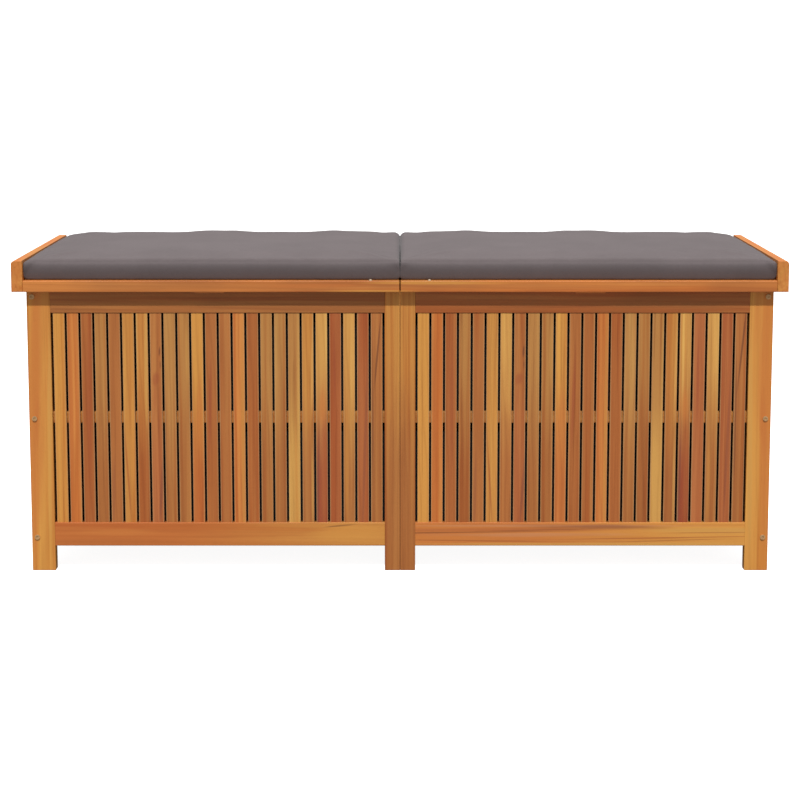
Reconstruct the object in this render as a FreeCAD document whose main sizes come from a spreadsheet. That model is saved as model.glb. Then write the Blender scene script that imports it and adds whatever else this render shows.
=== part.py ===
import FreeCAD, Part
import os
import re
import Sketcher

# Two-bay slatted hardwood storage bench: a frame-and-slat box, a two-part lid with raised end boards,
# two seat cushions, four butt hinges and two slotted lid stays.
# Millimetres. X runs along the bench, Y from front to back, Z up. The origin is the centre of the
# bounding box at the floor. The right half is built and mirrored to the left.

SIZES = {
    # whole bench
    "lid_width": 1500,
    "lid_depth": 500,
    "seat_height": 580,
    "lid_overhang": 24,
    "lid_gap": 0.5,
    "board": 22,
    # box frame
    "leg_width": 46,
    "post_width": 30,
    "top_rail": 43.5,
    "bottom_rail": 47,
    "foot_height": 50,
    "middle_rail": 22,
    "middle_rail_height": 295,
    "edge_round": 1.6,
    # how far a cut runs past the piece, or a joined block runs into it
    "overrun": 1,
    # slats
    "slat_count": 24,
    "side_slat_count": 12,
    "slat_width": 22.6,
    "slat_thick": 8,
    "slat_recess": 2,
    "slat_round": 1,
    "groove_depth": 10,
    "groove_play": 0.1,
    "slat_end_play": 0.5,
    # floor, cross rails and liner
    "floor_count": 7,
    "floor_gap": 14,
    "floor_thick": 12,
    "cleat": 20,
    "cleat_height": 52,
    "top_cross": 44,
    "bottom_cross": 30,
    "liner_half": 688,
    "liner_top": 533,
    "liner_wall": 1,
    "liner_play": 0.5,
    # bolts, nuts and dowels
    "bolt_radius": 3,
    "bolt_length": 56,
    "bolt_head": 5,
    "bolt_head_height": 2.5,
    "bolt_play": 0.25,
    "bolt_tip_room": 1,
    "socket_radius": 2.6,
    "socket_depth": 1.5,
    "bolt_low": 68,
    "bolt_middle": 305.5,
    "bolt_high": 546,
    "nut_radius": 5,
    "nut_length": 14,
    "nut_inset": 30,
    "post_bolt_radius": 2.5,
    "post_bolt_head": 3.8,
    "post_bolt_head_height": 3.5,
    "post_bolt_recess": 3.7,
    "post_bolt_inset": 17,
    "post_bolt_low": 150,
    "post_bolt_high": 440,
    "dowel_radius": 4,
    "dowel_length": 40,
    "dowel_drop": 13,
    "dowel_rise": 15.5,
    "side_dowel_drop": 14,
    # lid
    "lid_seam": 1,
    "lid_rail": 60,
    "lid_back_rail": 46,
    "lid_slat_count": 7,
    "lid_slat_gap": 6,
    "lid_slat_thick": 15,
    "batten_width": 40,
    "batten_drop": 22,
    "batten_play": 4,
    "batten_stay_gap": 2,
    "batten_first": 60,
    "pull_length": 57,
    "pull_depth": 18,
    "pull_drop": 1.8,
    "pull_middle": 368,
    "pull_setback": 2,
    "arm_height": 61,
    "arm_round": 8,
    "cap_offset": 57,
    "cap_inset": 6,
    "cap_radius": 3.5,
    "cap_sink": 0.8,
    "cap_length": 16,
    "screw_radius": 2.2,
    "screw_head": 4.2,
    "screw_head_height": 2.5,
    "screw_proud": 0.4,
    "screw_length": 38,
    "arm_screw_length": 60,
    "front_screw_inset": 5,
    "back_screw_inset": 10,
    # cushions
    "cushion_thick": 45,
    "cushion_depth": 487,
    "cushion_setback": 5,
    "cushion_seam": 1.5,
    "cushion_arm_play": 1,
    "cushion_round": 12,
    "strap_width": 25,
    "strap_thick": 1.5,
    "strap_play": 1,
    "strap_near": 200,
    "strap_far": 500,
    # hinges
    "hinge_width": 60,
    "hinge_standoff": 4,
    "knuckle_radius": 3.5,
    "knuckle_gap": 0.3,
    "leaf_height": 16,
    "leaf_thick": 2,
    "pin_radius": 1.75,
    "pin_play": 0.06,
    "pin_head": 1,
    "pin_head_rim": 0.9,
    "hinge_screw": 1.7,
    "hinge_screw_head": 3.2,
    "hinge_screw_head_height": 1.6,
    "hinge_screw_length": 16.5,
    "hinge_screw_inset": 12,
    "hinge_near": 140,
    "hinge_far": 600,
    # lid stays
    "stay_reach": 180,
    "pivot_drop": 10.75,
    "stud_drop": 34,
    "lid_opening": 95,
    "stay_thick": 3,
    "stay_half_width": 8,
    "stay_end": 2,
    "stay_wall_gap": 9,
    "stud_radius": 3,
    "stud_play": 0.5,
    "stud_depth": 7.5,
    "stud_head": 1.2,
    "stud_spacer_rim": 3,
    "pivot_depth": 24,
    "pivot_play": 0.3,
    "pivot_head": 2,
    "washer_rim": 2,
    "head_rim": 2.5,
}

LID_FRONT = "(-(lid_depth + hinge_standoff + knuckle_radius) / 2)"
LID_BACK = f"({LID_FRONT} + lid_depth)"
BOX_FRONT = f"({LID_FRONT} + lid_overhang)"
BOX_BACK = LID_BACK
BOX_MIDDLE = f"(({BOX_FRONT} + {BOX_BACK}) / 2)"
BOX_SIDE = "(lid_width / 2 - lid_overhang)"
BOX_TOP = "(seat_height - board - lid_gap)"
INNER_FRONT = f"({BOX_FRONT} + board)"
INNER_BACK = f"({BOX_BACK} - board)"
INNER_SIDE = f"({BOX_SIDE} - board)"
INNER_DEPTH = f"({INNER_BACK} - {INNER_FRONT})"
BAY_WIDTH = f"({BOX_SIDE} - leg_width - post_width)"
SIDE_OPENING = f"({INNER_DEPTH} - 2 * leg_width)"
RAIL_TOP_LOW = f"({BOX_TOP} - top_rail)"
RAIL_BOTTOM_HIGH = "(foot_height + bottom_rail)"
FLOOR_LOW = "(cleat_height + cleat)"
AXIS_Y = f"({LID_BACK} + hinge_standoff)"
AXIS_Z = f"({BOX_TOP} + lid_gap / 2)"
LID_UNDER = "(seat_height - board)"
LID_SLAT_LOW = "(seat_height - lid_slat_thick)"
LID_END = "(lid_width / 2 - board)"
LID_LENGTH = f"({LID_END} - lid_seam)"
LID_SLAT_SPACE = "(lid_depth - lid_rail - lid_back_rail)"
LID_SLAT_WIDTH = f"(({LID_SLAT_SPACE} - (lid_slat_count + 1) * lid_slat_gap) / lid_slat_count)"
LID_SLAT_PITCH = f"({LID_SLAT_WIDTH} + lid_slat_gap)"
LID_SLAT_FIRST = f"({LID_FRONT} + lid_rail + lid_slat_gap)"
BATTEN_FRONT = f"({INNER_FRONT} + batten_play)"
BATTEN_BACK = f"({INNER_BACK} - batten_play)"
BATTEN_OUTER = f"({INNER_SIDE} - stay_wall_gap - stay_thick - batten_stay_gap)"
BATTEN_PLACES = ("batten_first", f"({BATTEN_OUTER} / 2)", f"({BATTEN_OUTER} - batten_width)")
PIVOT_ANGLE = "asin(pivot_drop / stay_reach)"
STUD_ANGLE = "asin(stud_drop / stay_reach)"
STAY_X = f"({INNER_SIDE} - stay_wall_gap - stay_thick)"
PIVOT_Y = f"({AXIS_Y} - stay_reach * cos({PIVOT_ANGLE}))"
PIVOT_Z = f"({AXIS_Z} - pivot_drop)"
STUD_Y = f"({AXIS_Y} - stay_reach * cos({STUD_ANGLE}))"
STUD_Z = f"({AXIS_Z} - stud_drop)"
STAY_NEAR = f"(2 * stay_reach * sin(({STUD_ANGLE} - {PIVOT_ANGLE}) / 2))"
STAY_FAR = f"(2 * stay_reach * sin(({STUD_ANGLE} - {PIVOT_ANGLE} + lid_opening * 1 deg) / 2))"
CORNER_BOLT_HEIGHTS = ("bolt_low", "bolt_middle", "bolt_high")
POST_BOLT_HEIGHTS = ("post_bolt_low", "post_bolt_high")
HINGE_PLACES = ("hinge_near", "hinge_far")
HINGE_SCREW_PLACES = ("hinge_screw_inset", "(hinge_width - hinge_screw_inset)")
SIDE_KNUCKLE = "(hinge_width / 3 - knuckle_gap / 2)"
MID_KNUCKLE = "(hinge_width / 3 - knuckle_gap)"
STRAP_PLACES = ("strap_near", "strap_far")
# the second lid slat from the front and the second from the back
STRAP_SLATS = (1, 5)

# how near two faces or edges have to be to count as touching, and the least volume of a real cut
TOUCHING = 0.01
LEAST_CUT = 0.1

TURNS = {
    "x": FreeCAD.Rotation(FreeCAD.Vector(0, 1, 0), 90),
    "y": FreeCAD.Rotation(FreeCAD.Vector(1, 0, 0), -90),
    "z": FreeCAD.Rotation(),
}

doc = FreeCAD.newDocument("storage_bench")
sheet = doc.addObject("Spreadsheet::Sheet", "Sizes")
nodes = {}


def fill_sheet():
    for row, (alias, size) in enumerate(SIZES.items(), start=1):
        sheet.set(f"A{row}", "'" + alias)
        sheet.set(f"B{row}", str(size))
        sheet.setAlias(f"B{row}", alias)
    doc.recompute()


def sized(text):
    """Turn a size formula into an expression that reads the sheet."""
    return re.sub(r"[a-z_]+", lambda word: ("Sizes." if word.group() in SIZES else "") + word.group(), text)


def value(text):
    result = sheet.evalExpression(sized(text))
    return float(getattr(result, "Value", result))


def place(thing, x, y, z):
    for axis, text in zip("xyz", (x, y, z)):
        thing.setExpression("Placement.Base." + axis, sized(text))
    return thing


def node(label, thing):
    """Name a finished sub-part. Its label is its file's name."""
    thing.Label = label
    nodes[label] = thing
    return thing


# ---- building blocks -------------------------------------------------------------------------


def new_body(name):
    body = doc.addObject("PartDesign::Body", name)
    body.AllowCompound = True
    return body


def origin_part(body, role):
    return next(part for part in body.Origin.OriginFeatures if part.Role == role)


def outline(body, points):
    """A closed sketch on the body's YZ plane. Each point is bound to the sheet."""
    sketch = body.newObject("Sketcher::SketchObject", "Outline")
    sketch.AttachmentSupport = (origin_part(body, "YZ_Plane"), [""])
    sketch.MapMode = "FlatFace"
    corners = [FreeCAD.Vector(value(across), value(up), 0) for across, up in points]
    for start, end in zip(corners, corners[1:] + corners[:1]):
        sketch.addGeometry(Part.LineSegment(start, end), False)
    for line in range(len(points)):
        following = (line + 1) % len(points)
        sketch.addConstraint(Sketcher.Constraint("Coincident", line, 2, following, 1))
    for line, point in enumerate(points):
        for kind, text in zip(("DistanceX", "DistanceY"), point):
            added = sketch.addConstraint(Sketcher.Constraint(kind, -1, 1, line, 1, value(text)))
            sketch.setExpression(f"Constraints[{added}]", sized(text))
    return sketch


def moulding(name, points, length):
    """A body with a sketched section in YZ, padded along X."""
    body = new_body(name)
    pad = body.newObject("PartDesign::Pad", "Pad")
    pad.Profile = outline(body, points)
    pad.setExpression("Length", sized(length))
    doc.recompute()
    return body


def plank(name, length, depth, height, rounding="edge_round", axes="xyz"):
    """A rectangular board with its low corner at the body's origin and eased edges."""
    corners = [("0", "0"), (depth, "0"), (depth, height), ("0", height)]
    body = moulding(name, corners, length)
    ease(body, rounding, axes)
    return body


def round_edges(body, radius, accepts):
    """Round the edges of the body's tip that the test accepts."""
    base = body.Tip
    fillet = body.newObject("PartDesign::Fillet", "Rounded")
    numbered = enumerate(base.Shape.Edges, start=1)
    fillet.Base = (base, [f"Edge{number}" for number, edge in numbered if accepts(edge)])
    fillet.setExpression("Radius", sized(radius))
    doc.recompute()


def ease(body, radius, axes="xyz"):
    """Round the outer edges that run along the given axes."""
    box = body.Tip.Shape.BoundBox
    limits = ((box.XMin, box.XMax), (box.YMin, box.YMax), (box.ZMin, box.ZMax))

    def outer(edge):
        run = edge.Vertexes[-1].Point - edge.Vertexes[0].Point
        for axis, letter in enumerate("xyz"):
            if letter in axes and abs(run[axis]) > edge.Length - TOUCHING:
                others = [side for side in range(3) if side != axis]
                middle = edge.CenterOfMass
                gaps = [min(abs(middle[side] - limit) for limit in limits[side]) for side in others]
                return max(gaps) < TOUCHING
        return False

    round_edges(body, radius, outer)


def add_primitive(body, kind, sizes, at, turn="z"):
    """Add or cut a box or cylinder in a body. A cut has to remove material."""
    before = 0 if body.Shape.isNull() else body.Shape.Volume
    feature = body.newObject("PartDesign::" + kind, kind)
    for size, text in sizes.items():
        feature.setExpression(size, sized(text))
    feature.Placement = FreeCAD.Placement(FreeCAD.Vector(), TURNS[turn])
    place(feature, *at)
    doc.recompute()
    if kind.startswith("Subtractive") and body.Shape.Volume > before - LEAST_CUT:
        raise ValueError(f"{body.Name}: {kind} removed nothing")
    return feature


def rod(body, radius, length, at, turn):
    return add_primitive(body, "AdditiveCylinder", {"Radius": radius, "Height": length}, at, turn)


def bore(body, radius, length, at, turn):
    return add_primitive(body, "SubtractiveCylinder", {"Radius": radius, "Height": length}, at, turn)


def block(body, size, at):
    return add_primitive(body, "AdditiveBox", dict(zip(("Length", "Width", "Height"), size)), at)


def slot_block(body, size, at):
    return add_primitive(body, "SubtractiveBox", dict(zip(("Length", "Width", "Height"), size)), at)


def row(body, count, pitch, axis="X_Axis"):
    """Repeat the whole body along one of its axes."""
    pattern = body.newObject("PartDesign::LinearPattern", "Row")
    pattern.TransformMode = "Whole shape"
    pattern.Direction = (origin_part(body, axis), [""])
    pattern.Mode = "Spacing"
    pattern.setExpression("Offset", sized(pitch))
    pattern.setExpression("Occurrences", sized(count))
    body.Tip = pattern
    doc.recompute()
    return body


def mirror(source, across):
    """Mirror a piece to the left (across x) or to the back (across y)."""
    twin = doc.addObject("Part::Mirroring", source.Name + "_twin")
    twin.Source = source
    twin.Normal = FreeCAD.Vector(1, 0, 0) if across == "x" else FreeCAD.Vector(0, 1, 0)
    if across == "y":
        twin.setExpression("Base.y", sized(BOX_MIDDLE))
    return twin


def group(pieces):
    """Several separate solids that make one node."""
    compound = doc.addObject("Part::Compound", "Group")
    compound.Links = pieces
    return compound


def copy_at(source, x, y, z):
    """A placed copy, wrapped in a group so that a mirror of it keeps its place."""
    link = doc.addObject("App::Link", source.Name + "_copy")
    link.LinkedObject = source
    return group([place(link, x, y, z)])


def left_and_right(name, source):
    """The right piece and its mirror image, as two nodes."""
    node(name.format("right"), source)
    node(name.format("left"), mirror(source, "x"))


def four_corners(piece):
    """A front right piece with its three mirror images."""
    back = mirror(piece, "y")
    return [piece, mirror(piece, "x"), back, mirror(back, "x")]


# ---- box: frames and slats -------------------------------------------------------------------


def rail_section(height, groove_at_top):
    """A rail's section: a board with a groove for the slat ends in one edge."""
    near = "slat_recess - groove_play"
    far = "slat_recess + slat_thick + groove_play"
    if groove_at_top:
        floor = f"{height} - groove_depth"
        groove = [(far, height), (far, floor), (near, floor), (near, height)]
        return [("0", "0"), ("board", "0"), ("board", height)] + groove + [("0", height)]
    groove = [(near, "0"), (near, "groove_depth"), (far, "groove_depth"), (far, "0")]
    return [("0", "0")] + groove + [("board", "0"), ("board", height), ("0", height)]


def panel_parts(name, opening, count, x, y, turn):
    """Top, middle and bottom rail and the slats of one panel, all in the panel's own direction."""
    top = moulding(name + "_top", rail_section("top_rail", False), opening)
    ease(top, "edge_round", "x")
    bottom = moulding(name + "_bottom", rail_section("bottom_rail", True), opening)
    ease(bottom, "edge_round", "x")
    behind = "(board - slat_recess - slat_thick)"
    middle = plank(name + "_middle", opening, behind, "middle_rail", "slat_round", "x")
    slat_length = f"({RAIL_TOP_LOW} - {RAIL_BOTTOM_HIGH} + 2 * (groove_depth - slat_end_play))"
    gap = f"(({opening} - {count} * slat_width) / ({count} + 1))"
    slats = plank(name + "_slats", "slat_width", "slat_thick", slat_length, "slat_round", "z")
    row(slats, count, f"slat_width + {gap}")
    slat_low = f"{RAIL_BOTTOM_HIGH} - groove_depth + slat_end_play"
    heights = (RAIL_TOP_LOW, "middle_rail_height", "foot_height", slat_low)
    insets = ("0", "slat_recess + slat_thick", "0", "slat_recess")
    starts = ("0", "0", "0", gap)
    for piece, height, inset, start in zip((top, middle, bottom, slats), heights, insets, starts):
        piece.Placement.Rotation = turn
        if turn.Angle == 0:
            place(piece, f"{x} + {start}", f"{y} + {inset}", height)
        else:
            place(piece, f"{x} - ({inset})", f"{y} + {start}", height)
    return top, middle, bottom, slats


def build_legs():
    leg = plank("leg", "leg_width", "board", BOX_TOP)
    for height in CORNER_BOLT_HEIGHTS:
        at = ("leg_width - board / 2", "-overrun", height)
        bore(leg, "bolt_radius + bolt_play", "board + 2 * overrun", at, "y")
    place(leg, f"{BOX_SIDE} - leg_width", BOX_FRONT, "0")
    for corner, piece in zip(("front_right", "front_left", "back_right", "back_left"), four_corners(leg)):
        node(corner + "_leg", piece)


def build_centre_posts():
    post = plank("post", "post_width", "board", BOX_TOP)
    for height in POST_BOLT_HEIGHTS:
        at = ("-overrun", "post_bolt_inset", height)
        bore(post, "post_bolt_radius + bolt_play", "post_width + 2 * overrun", at, "x")
        at = ("post_width - post_bolt_recess", "post_bolt_inset", height)
        bore(post, "post_bolt_head + bolt_play", "post_bolt_recess + overrun", at, "x")
    place(post, "0", BOX_FRONT, "0")
    front_right, front_left, back_right, back_left = four_corners(post)
    node("front_right_centre_post", front_right)
    node("front_left_centre_post", front_left)
    node("back_centre_posts", group([back_right, back_left]))


def build_front_and_back_panels():
    forward = TURNS["z"]
    shape = ("bay", BAY_WIDTH, "slat_count", "post_width")
    top, middle, bottom, slats = panel_parts(*shape, BOX_FRONT, forward)
    for name, piece in (("top_rail", top), ("bottom_rail", bottom)):
        front_right, front_left, back_right, back_left = four_corners(piece)
        node("front_right_" + name, front_right)
        node("front_left_" + name, front_left)
        node(f"back_{name}s", group([back_right, back_left]))
    front_right, front_left, back_right, back_left = four_corners(middle)
    node("front_middle_rails", group([front_right, front_left]))
    node("back_middle_rails", group([back_right, back_left]))
    for corner, piece in zip(("front_right", "front_left", "back_right", "back_left"), four_corners(slats)):
        node(corner + "_slats", piece)


def build_side_panels():
    quarter = FreeCAD.Rotation(FreeCAD.Vector(0, 0, 1), 90)
    y = f"({INNER_FRONT} + leg_width)"
    top, middle, bottom, slats = panel_parts("side", SIDE_OPENING, "side_slat_count", BOX_SIDE, y, quarter)
    stile = plank("stile", "board", "leg_width", BOX_TOP)
    bolt_depth = "bolt_length - board + bolt_tip_room + overrun"
    nut_depth = "board / 2 + nut_length / 2 + overrun"
    for height in CORNER_BOLT_HEIGHTS:
        bore(stile, "bolt_radius + bolt_play", bolt_depth, ("board / 2", "-overrun", height), "y")
        bore(stile, "nut_radius", nut_depth, ("-overrun", "nut_inset", height), "x")
    place(stile, INNER_SIDE, INNER_FRONT, "0")
    left_and_right("{}_side_stiles", group([stile, mirror(stile, "y")]))
    left_and_right("{}_side_rails", group([top, middle, bottom]))
    left_and_right("{}_side_slats", slats)


# ---- box: inside -----------------------------------------------------------------------------


def build_cross_rails():
    top = plank("top_cross_rail", "top_cross", INNER_DEPTH, "board")
    place(top, "-top_cross / 2", INNER_FRONT, f"{BOX_TOP} - board")
    bottom = plank("bottom_cross_rail", "bottom_cross", INNER_DEPTH, "cleat")
    place(bottom, "-bottom_cross / 2", INNER_FRONT, "cleat_height")
    node("centre_cross_rails", group([top, bottom]))


def build_floor():
    cleat = plank("cleat_piece", f"{INNER_SIDE} - bottom_cross / 2", "cleat", "cleat")
    place(cleat, "bottom_cross / 2", INNER_FRONT, "cleat_height")
    node("floor_cleats", group(four_corners(cleat)))
    pitch = f"(({INNER_SIDE} - floor_gap / 2) / floor_count)"
    depth = f"{INNER_DEPTH} - 2 * liner_play"
    board = plank("floor_board", f"{pitch} - floor_gap", depth, "floor_thick")
    row(board, "floor_count", pitch)
    place(board, "floor_gap / 2", f"{INNER_FRONT} + liner_play", FLOOR_LOW)
    node("floor_boards", group([board, mirror(board, "x")]))


def build_liner():
    """An open-topped fabric bag that stands on the floor boards."""
    low = f"({FLOOR_LOW} + floor_thick)"
    outer = doc.addObject("Part::Box", "liner_outside")
    inner = doc.addObject("Part::Box", "liner_inside")
    for box, inset in ((outer, "0"), (inner, "liner_wall")):
        box.setExpression("Length", sized(f"2 * (liner_half - {inset})"))
        box.setExpression("Width", sized(f"{INNER_DEPTH} - 2 * liner_play - 2 * {inset}"))
        box.setExpression("Height", sized(f"liner_top - {low}"))
        place(box, f"{inset} - liner_half", f"{INNER_FRONT} + liner_play + {inset}", f"{low} + {inset}")
    bag = doc.addObject("Part::Cut", "liner_bag")
    bag.Base = outer
    bag.Tool = inner
    node("liner", bag)


# ---- bolts, nuts and dowels ------------------------------------------------------------------


def build_corner_bolts():
    bolt = new_body("corner_bolt")
    rod(bolt, "bolt_head", "bolt_head_height", ("0", "-bolt_head_height", "0"), "y")
    rod(bolt, "bolt_radius", "bolt_length + bolt_head_height", ("0", "-bolt_head_height", "0"), "y")
    socket_size = {"Circumradius": "socket_radius", "Height": "socket_depth + overrun"}
    add_primitive(bolt, "SubtractivePrism", socket_size, ("0", "-bolt_head_height - overrun", "0"), "y")
    nut = new_body("barrel_nut")
    rod(nut, "nut_radius", "nut_length", ("-nut_length / 2", "0", "0"), "x")
    bore(nut, "bolt_radius", "2 * (nut_radius + overrun)", ("0", "-nut_radius - overrun", "0"), "y")
    bolts = []
    nuts = []
    for height in CORNER_BOLT_HEIGHTS:
        x = f"{BOX_SIDE} - board / 2"
        bolts += four_corners(copy_at(bolt, x, BOX_FRONT, height))
        nuts += four_corners(copy_at(nut, x, f"{INNER_FRONT} + nut_inset", height))
    node("corner_bolts", group(bolts))
    node("corner_barrel_nuts", group(nuts))


def build_post_bolts():
    """Bolts that tie each pair of centre posts, with a head sunk in one and a nut sunk in the other."""
    bolt = new_body("post_bolt")
    head_start = "(post_width - post_bolt_recess)"
    rod(bolt, "post_bolt_radius", f"2 * {head_start}", (f"-{head_start}", "0", "0"), "x")
    for start in (head_start, f"-{head_start} - post_bolt_head_height"):
        rod(bolt, "post_bolt_head", "post_bolt_head_height", (start, "0", "0"), "x")
    bolts = []
    for height in POST_BOLT_HEIGHTS:
        front = copy_at(bolt, "0", f"{BOX_FRONT} + post_bolt_inset", height)
        bolts += [front, mirror(front, "y")]
    node("centre_post_bolts", group(bolts))


def build_dowels():
    """A glued dowel in each end of each top and bottom rail."""
    along = new_body("dowel")
    rod(along, "dowel_radius", "dowel_length", ("-dowel_length / 2", "0", "0"), "x")
    across = new_body("side_dowel")
    rod(across, "dowel_radius", "dowel_length", ("0", "-dowel_length / 2", "0"), "y")
    dowels = []
    for height in (f"{BOX_TOP} - dowel_drop", "foot_height + dowel_rise"):
        for x in ("post_width", f"{BOX_SIDE} - leg_width"):
            dowels += four_corners(copy_at(along, x, f"{BOX_FRONT} + board / 2", height))
        low = f"{height} - side_dowel_drop"
        side = copy_at(across, f"{BOX_SIDE} - board / 2", f"{INNER_FRONT} + leg_width", low)
        dowels += four_corners(side)
    node("rail_dowels", group(dowels))


# ---- hinges ----------------------------------------------------------------------------------


def hinge_leaf(name, direction, knuckles, hole):
    """One leaf with its knuckles. The pin's axis is the body's X axis. Direction is 1 up, -1 down."""
    leaf = new_body(name)
    plate_low = "hinge_standoff" if direction > 0 else "-hinge_standoff - leaf_height"
    web_low = "0" if direction > 0 else "-hinge_standoff"
    block(leaf, ("hinge_width", "leaf_thick", "leaf_height"), ("0", "-hinge_standoff", plate_low))
    for start, length in knuckles:
        block(leaf, (length, "leaf_thick", "hinge_standoff"), (start, "-hinge_standoff", web_low))
        rod(leaf, "knuckle_radius", length, (start, "0", "0"), "x")
    bore(leaf, hole, "hinge_width + 2 * overrun", ("-overrun", "0", "0"), "x")
    for x in HINGE_SCREW_PLACES:
        at = (x, "-hinge_standoff - overrun", f"{direction} * (hinge_standoff + leaf_height / 2)")
        bore(leaf, "hinge_screw + bolt_play", "leaf_thick + 2 * overrun", at, "y")
    return leaf


def hinge_pin():
    pin = new_body("hinge_pin")
    rod(pin, "pin_radius", "hinge_width + 2 * pin_head", ("-pin_head", "0", "0"), "x")
    for start in ("-pin_head", "hinge_width"):
        rod(pin, "pin_radius + pin_head_rim", "pin_head", (start, "0", "0"), "x")
    return pin


def hinge_screw():
    screw = new_body("hinge_screw")
    rod(screw, "hinge_screw_head", "hinge_screw_head_height", ("0", "-leaf_thick", "0"), "y")
    length = "hinge_screw_length + hinge_screw_head_height"
    rod(screw, "hinge_screw", length, ("0", "-leaf_thick - hinge_screw_length", "0"), "y")
    return screw


def build_hinges():
    side_starts = ("0", f"hinge_width - {SIDE_KNUCKLE}")
    box_leaf = hinge_leaf("box_leaf", -1, [(start, SIDE_KNUCKLE) for start in side_starts], "pin_radius")
    middle = [(f"{SIDE_KNUCKLE} + knuckle_gap", MID_KNUCKLE)]
    lid_leaf = hinge_leaf("lid_leaf", 1, middle, "pin_radius + pin_play")
    pin = hinge_pin()
    screw = hinge_screw()
    pieces = {"box": [], "lid": [], "pin": [], "box_screw": [], "lid_screw": []}
    for centre in HINGE_PLACES:
        start = f"({centre} - hinge_width / 2)"
        pieces["box"].append(copy_at(box_leaf, start, AXIS_Y, AXIS_Z))
        pieces["lid"].append(copy_at(lid_leaf, start, AXIS_Y, AXIS_Z))
        pieces["pin"].append(copy_at(pin, start, AXIS_Y, AXIS_Z))
        for x in HINGE_SCREW_PLACES:
            for kind, sign in (("box_screw", "-"), ("lid_screw", "+")):
                height = f"{AXIS_Z} {sign} (hinge_standoff + leaf_height / 2)"
                pieces[kind].append(copy_at(screw, f"{start} + {x}", AXIS_Y, height))
    for kind, name in (("box", "hinge_box_leaves"), ("pin", "hinge_pins"), ("box_screw", "hinge_screws")):
        right = group(pieces[kind])
        node(name, group([right, mirror(right, "x")]))
    left_and_right("{}_lid_hinge_leaves", group(pieces["lid"]))
    return pieces["lid_screw"]


# ---- lid -------------------------------------------------------------------------------------


def build_lid_rails():
    front = plank("lid_front_rail", LID_LENGTH, "lid_rail", "board")
    pull_at = ("pull_middle - pull_length / 2 - lid_seam", "pull_setback", "-pull_drop")
    block(front, ("pull_length", "pull_depth", "pull_drop + overrun"), pull_at)
    place(front, "lid_seam", LID_FRONT, LID_UNDER)
    left_and_right("{}_lid_front_rail", front)
    back = plank("lid_back_rail", LID_LENGTH, "lid_back_rail", "board")
    place(back, "lid_seam", f"{LID_BACK} - lid_back_rail", LID_UNDER)
    left_and_right("{}_lid_back_rail", back)


def build_lid_slats():
    slats = plank("lid_slat", LID_LENGTH, LID_SLAT_WIDTH, "lid_slat_thick")
    row(slats, "lid_slat_count", LID_SLAT_PITCH, "Y_Axis")
    place(slats, "lid_seam", LID_SLAT_FIRST, LID_SLAT_LOW)
    left_and_right("{}_lid_slats", slats)


def build_battens():
    """Battens under the slats, notched to lap under the front and back rails."""
    length = f"({BATTEN_BACK} - {BATTEN_FRONT})"
    front_lap = f"({LID_FRONT} + lid_rail - {BATTEN_FRONT})"
    back_lap = f"({LID_BACK} - lid_back_rail - {BATTEN_FRONT})"
    lap = "batten_drop"
    top = "(batten_drop + board - lid_slat_thick)"
    points = [("0", "0"), (length, "0"), (length, lap), (back_lap, lap), (back_lap, top)]
    points += [(front_lap, top), (front_lap, lap), ("0", lap)]
    batten = moulding("batten", points, "batten_width")
    ease(batten, "edge_round", "xyz")
    height = f"{LID_UNDER} - batten_drop"
    copies = [copy_at(batten, x, BATTEN_FRONT, height) for x in BATTEN_PLACES]
    left_and_right("{}_lid_battens", group(copies))


def build_arms():
    """The raised end board of a lid, well rounded on its outer top edge and eased at both ends."""
    depth = value("lid_depth")
    top_outer = value("arm_height") + value("board")
    corners = [("0", "0"), ("lid_depth", "0"), ("lid_depth", "arm_height"), ("0", "arm_height")]
    arm = moulding("arm", corners, "board")

    def top_outer_edge(edge):
        return edge.CenterOfMass.z + edge.CenterOfMass.x > top_outer - TOUCHING

    def end_edge(edge):
        return min(edge.CenterOfMass.y, depth - edge.CenterOfMass.y) < TOUCHING

    round_edges(arm, "arm_round", top_outer_edge)
    round_edges(arm, "edge_round", end_edge)
    place(arm, LID_END, LID_FRONT, LID_UNDER)
    left_and_right("{}_arm", arm)


def lid_slat_centre(number):
    return f"({LID_SLAT_FIRST} + {LID_SLAT_WIDTH} / 2 + {number} * {LID_SLAT_PITCH})"


def board_centres():
    """The depth of each lid board's fixing screws, front rail first."""
    slats = [lid_slat_centre(number) for number in range(SIZES["lid_slat_count"])]
    front = f"{LID_FRONT} + lid_rail - front_screw_inset"
    return [front] + slats + [f"{LID_BACK} - lid_back_rail + back_screw_inset"]


def batten_screw():
    """A screw that comes up through a batten into the board above it."""
    screw = new_body("batten_screw")
    rod(screw, "screw_radius", "screw_length", ("0", "0", "0"), "z")
    rod(screw, "screw_head", "screw_head_height", ("0", "0", "-screw_proud"), "z")
    return screw


def arm_screw():
    """A screw that goes in through the end board into a lid board's end."""
    screw = new_body("arm_screw")
    rod(screw, "screw_radius", "arm_screw_length", ("-arm_screw_length", "0", "0"), "x")
    rod(screw, "screw_head", "screw_head_height", ("screw_proud - screw_head_height", "0", "0"), "x")
    return screw


def cap_screw():
    """A screw with a domed cap that stands on the lid's front rail."""
    screw = new_body("cap_screw")
    rod(screw, "screw_radius", "cap_length", ("0", "0", "-cap_length"), "z")
    dome = screw.newObject("PartDesign::AdditiveSphere", "Dome")
    dome.setExpression("Radius", sized("cap_radius"))
    dome.Angle1 = 0
    place(dome, "0", "0", "-cap_sink")
    doc.recompute()
    return screw


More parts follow.
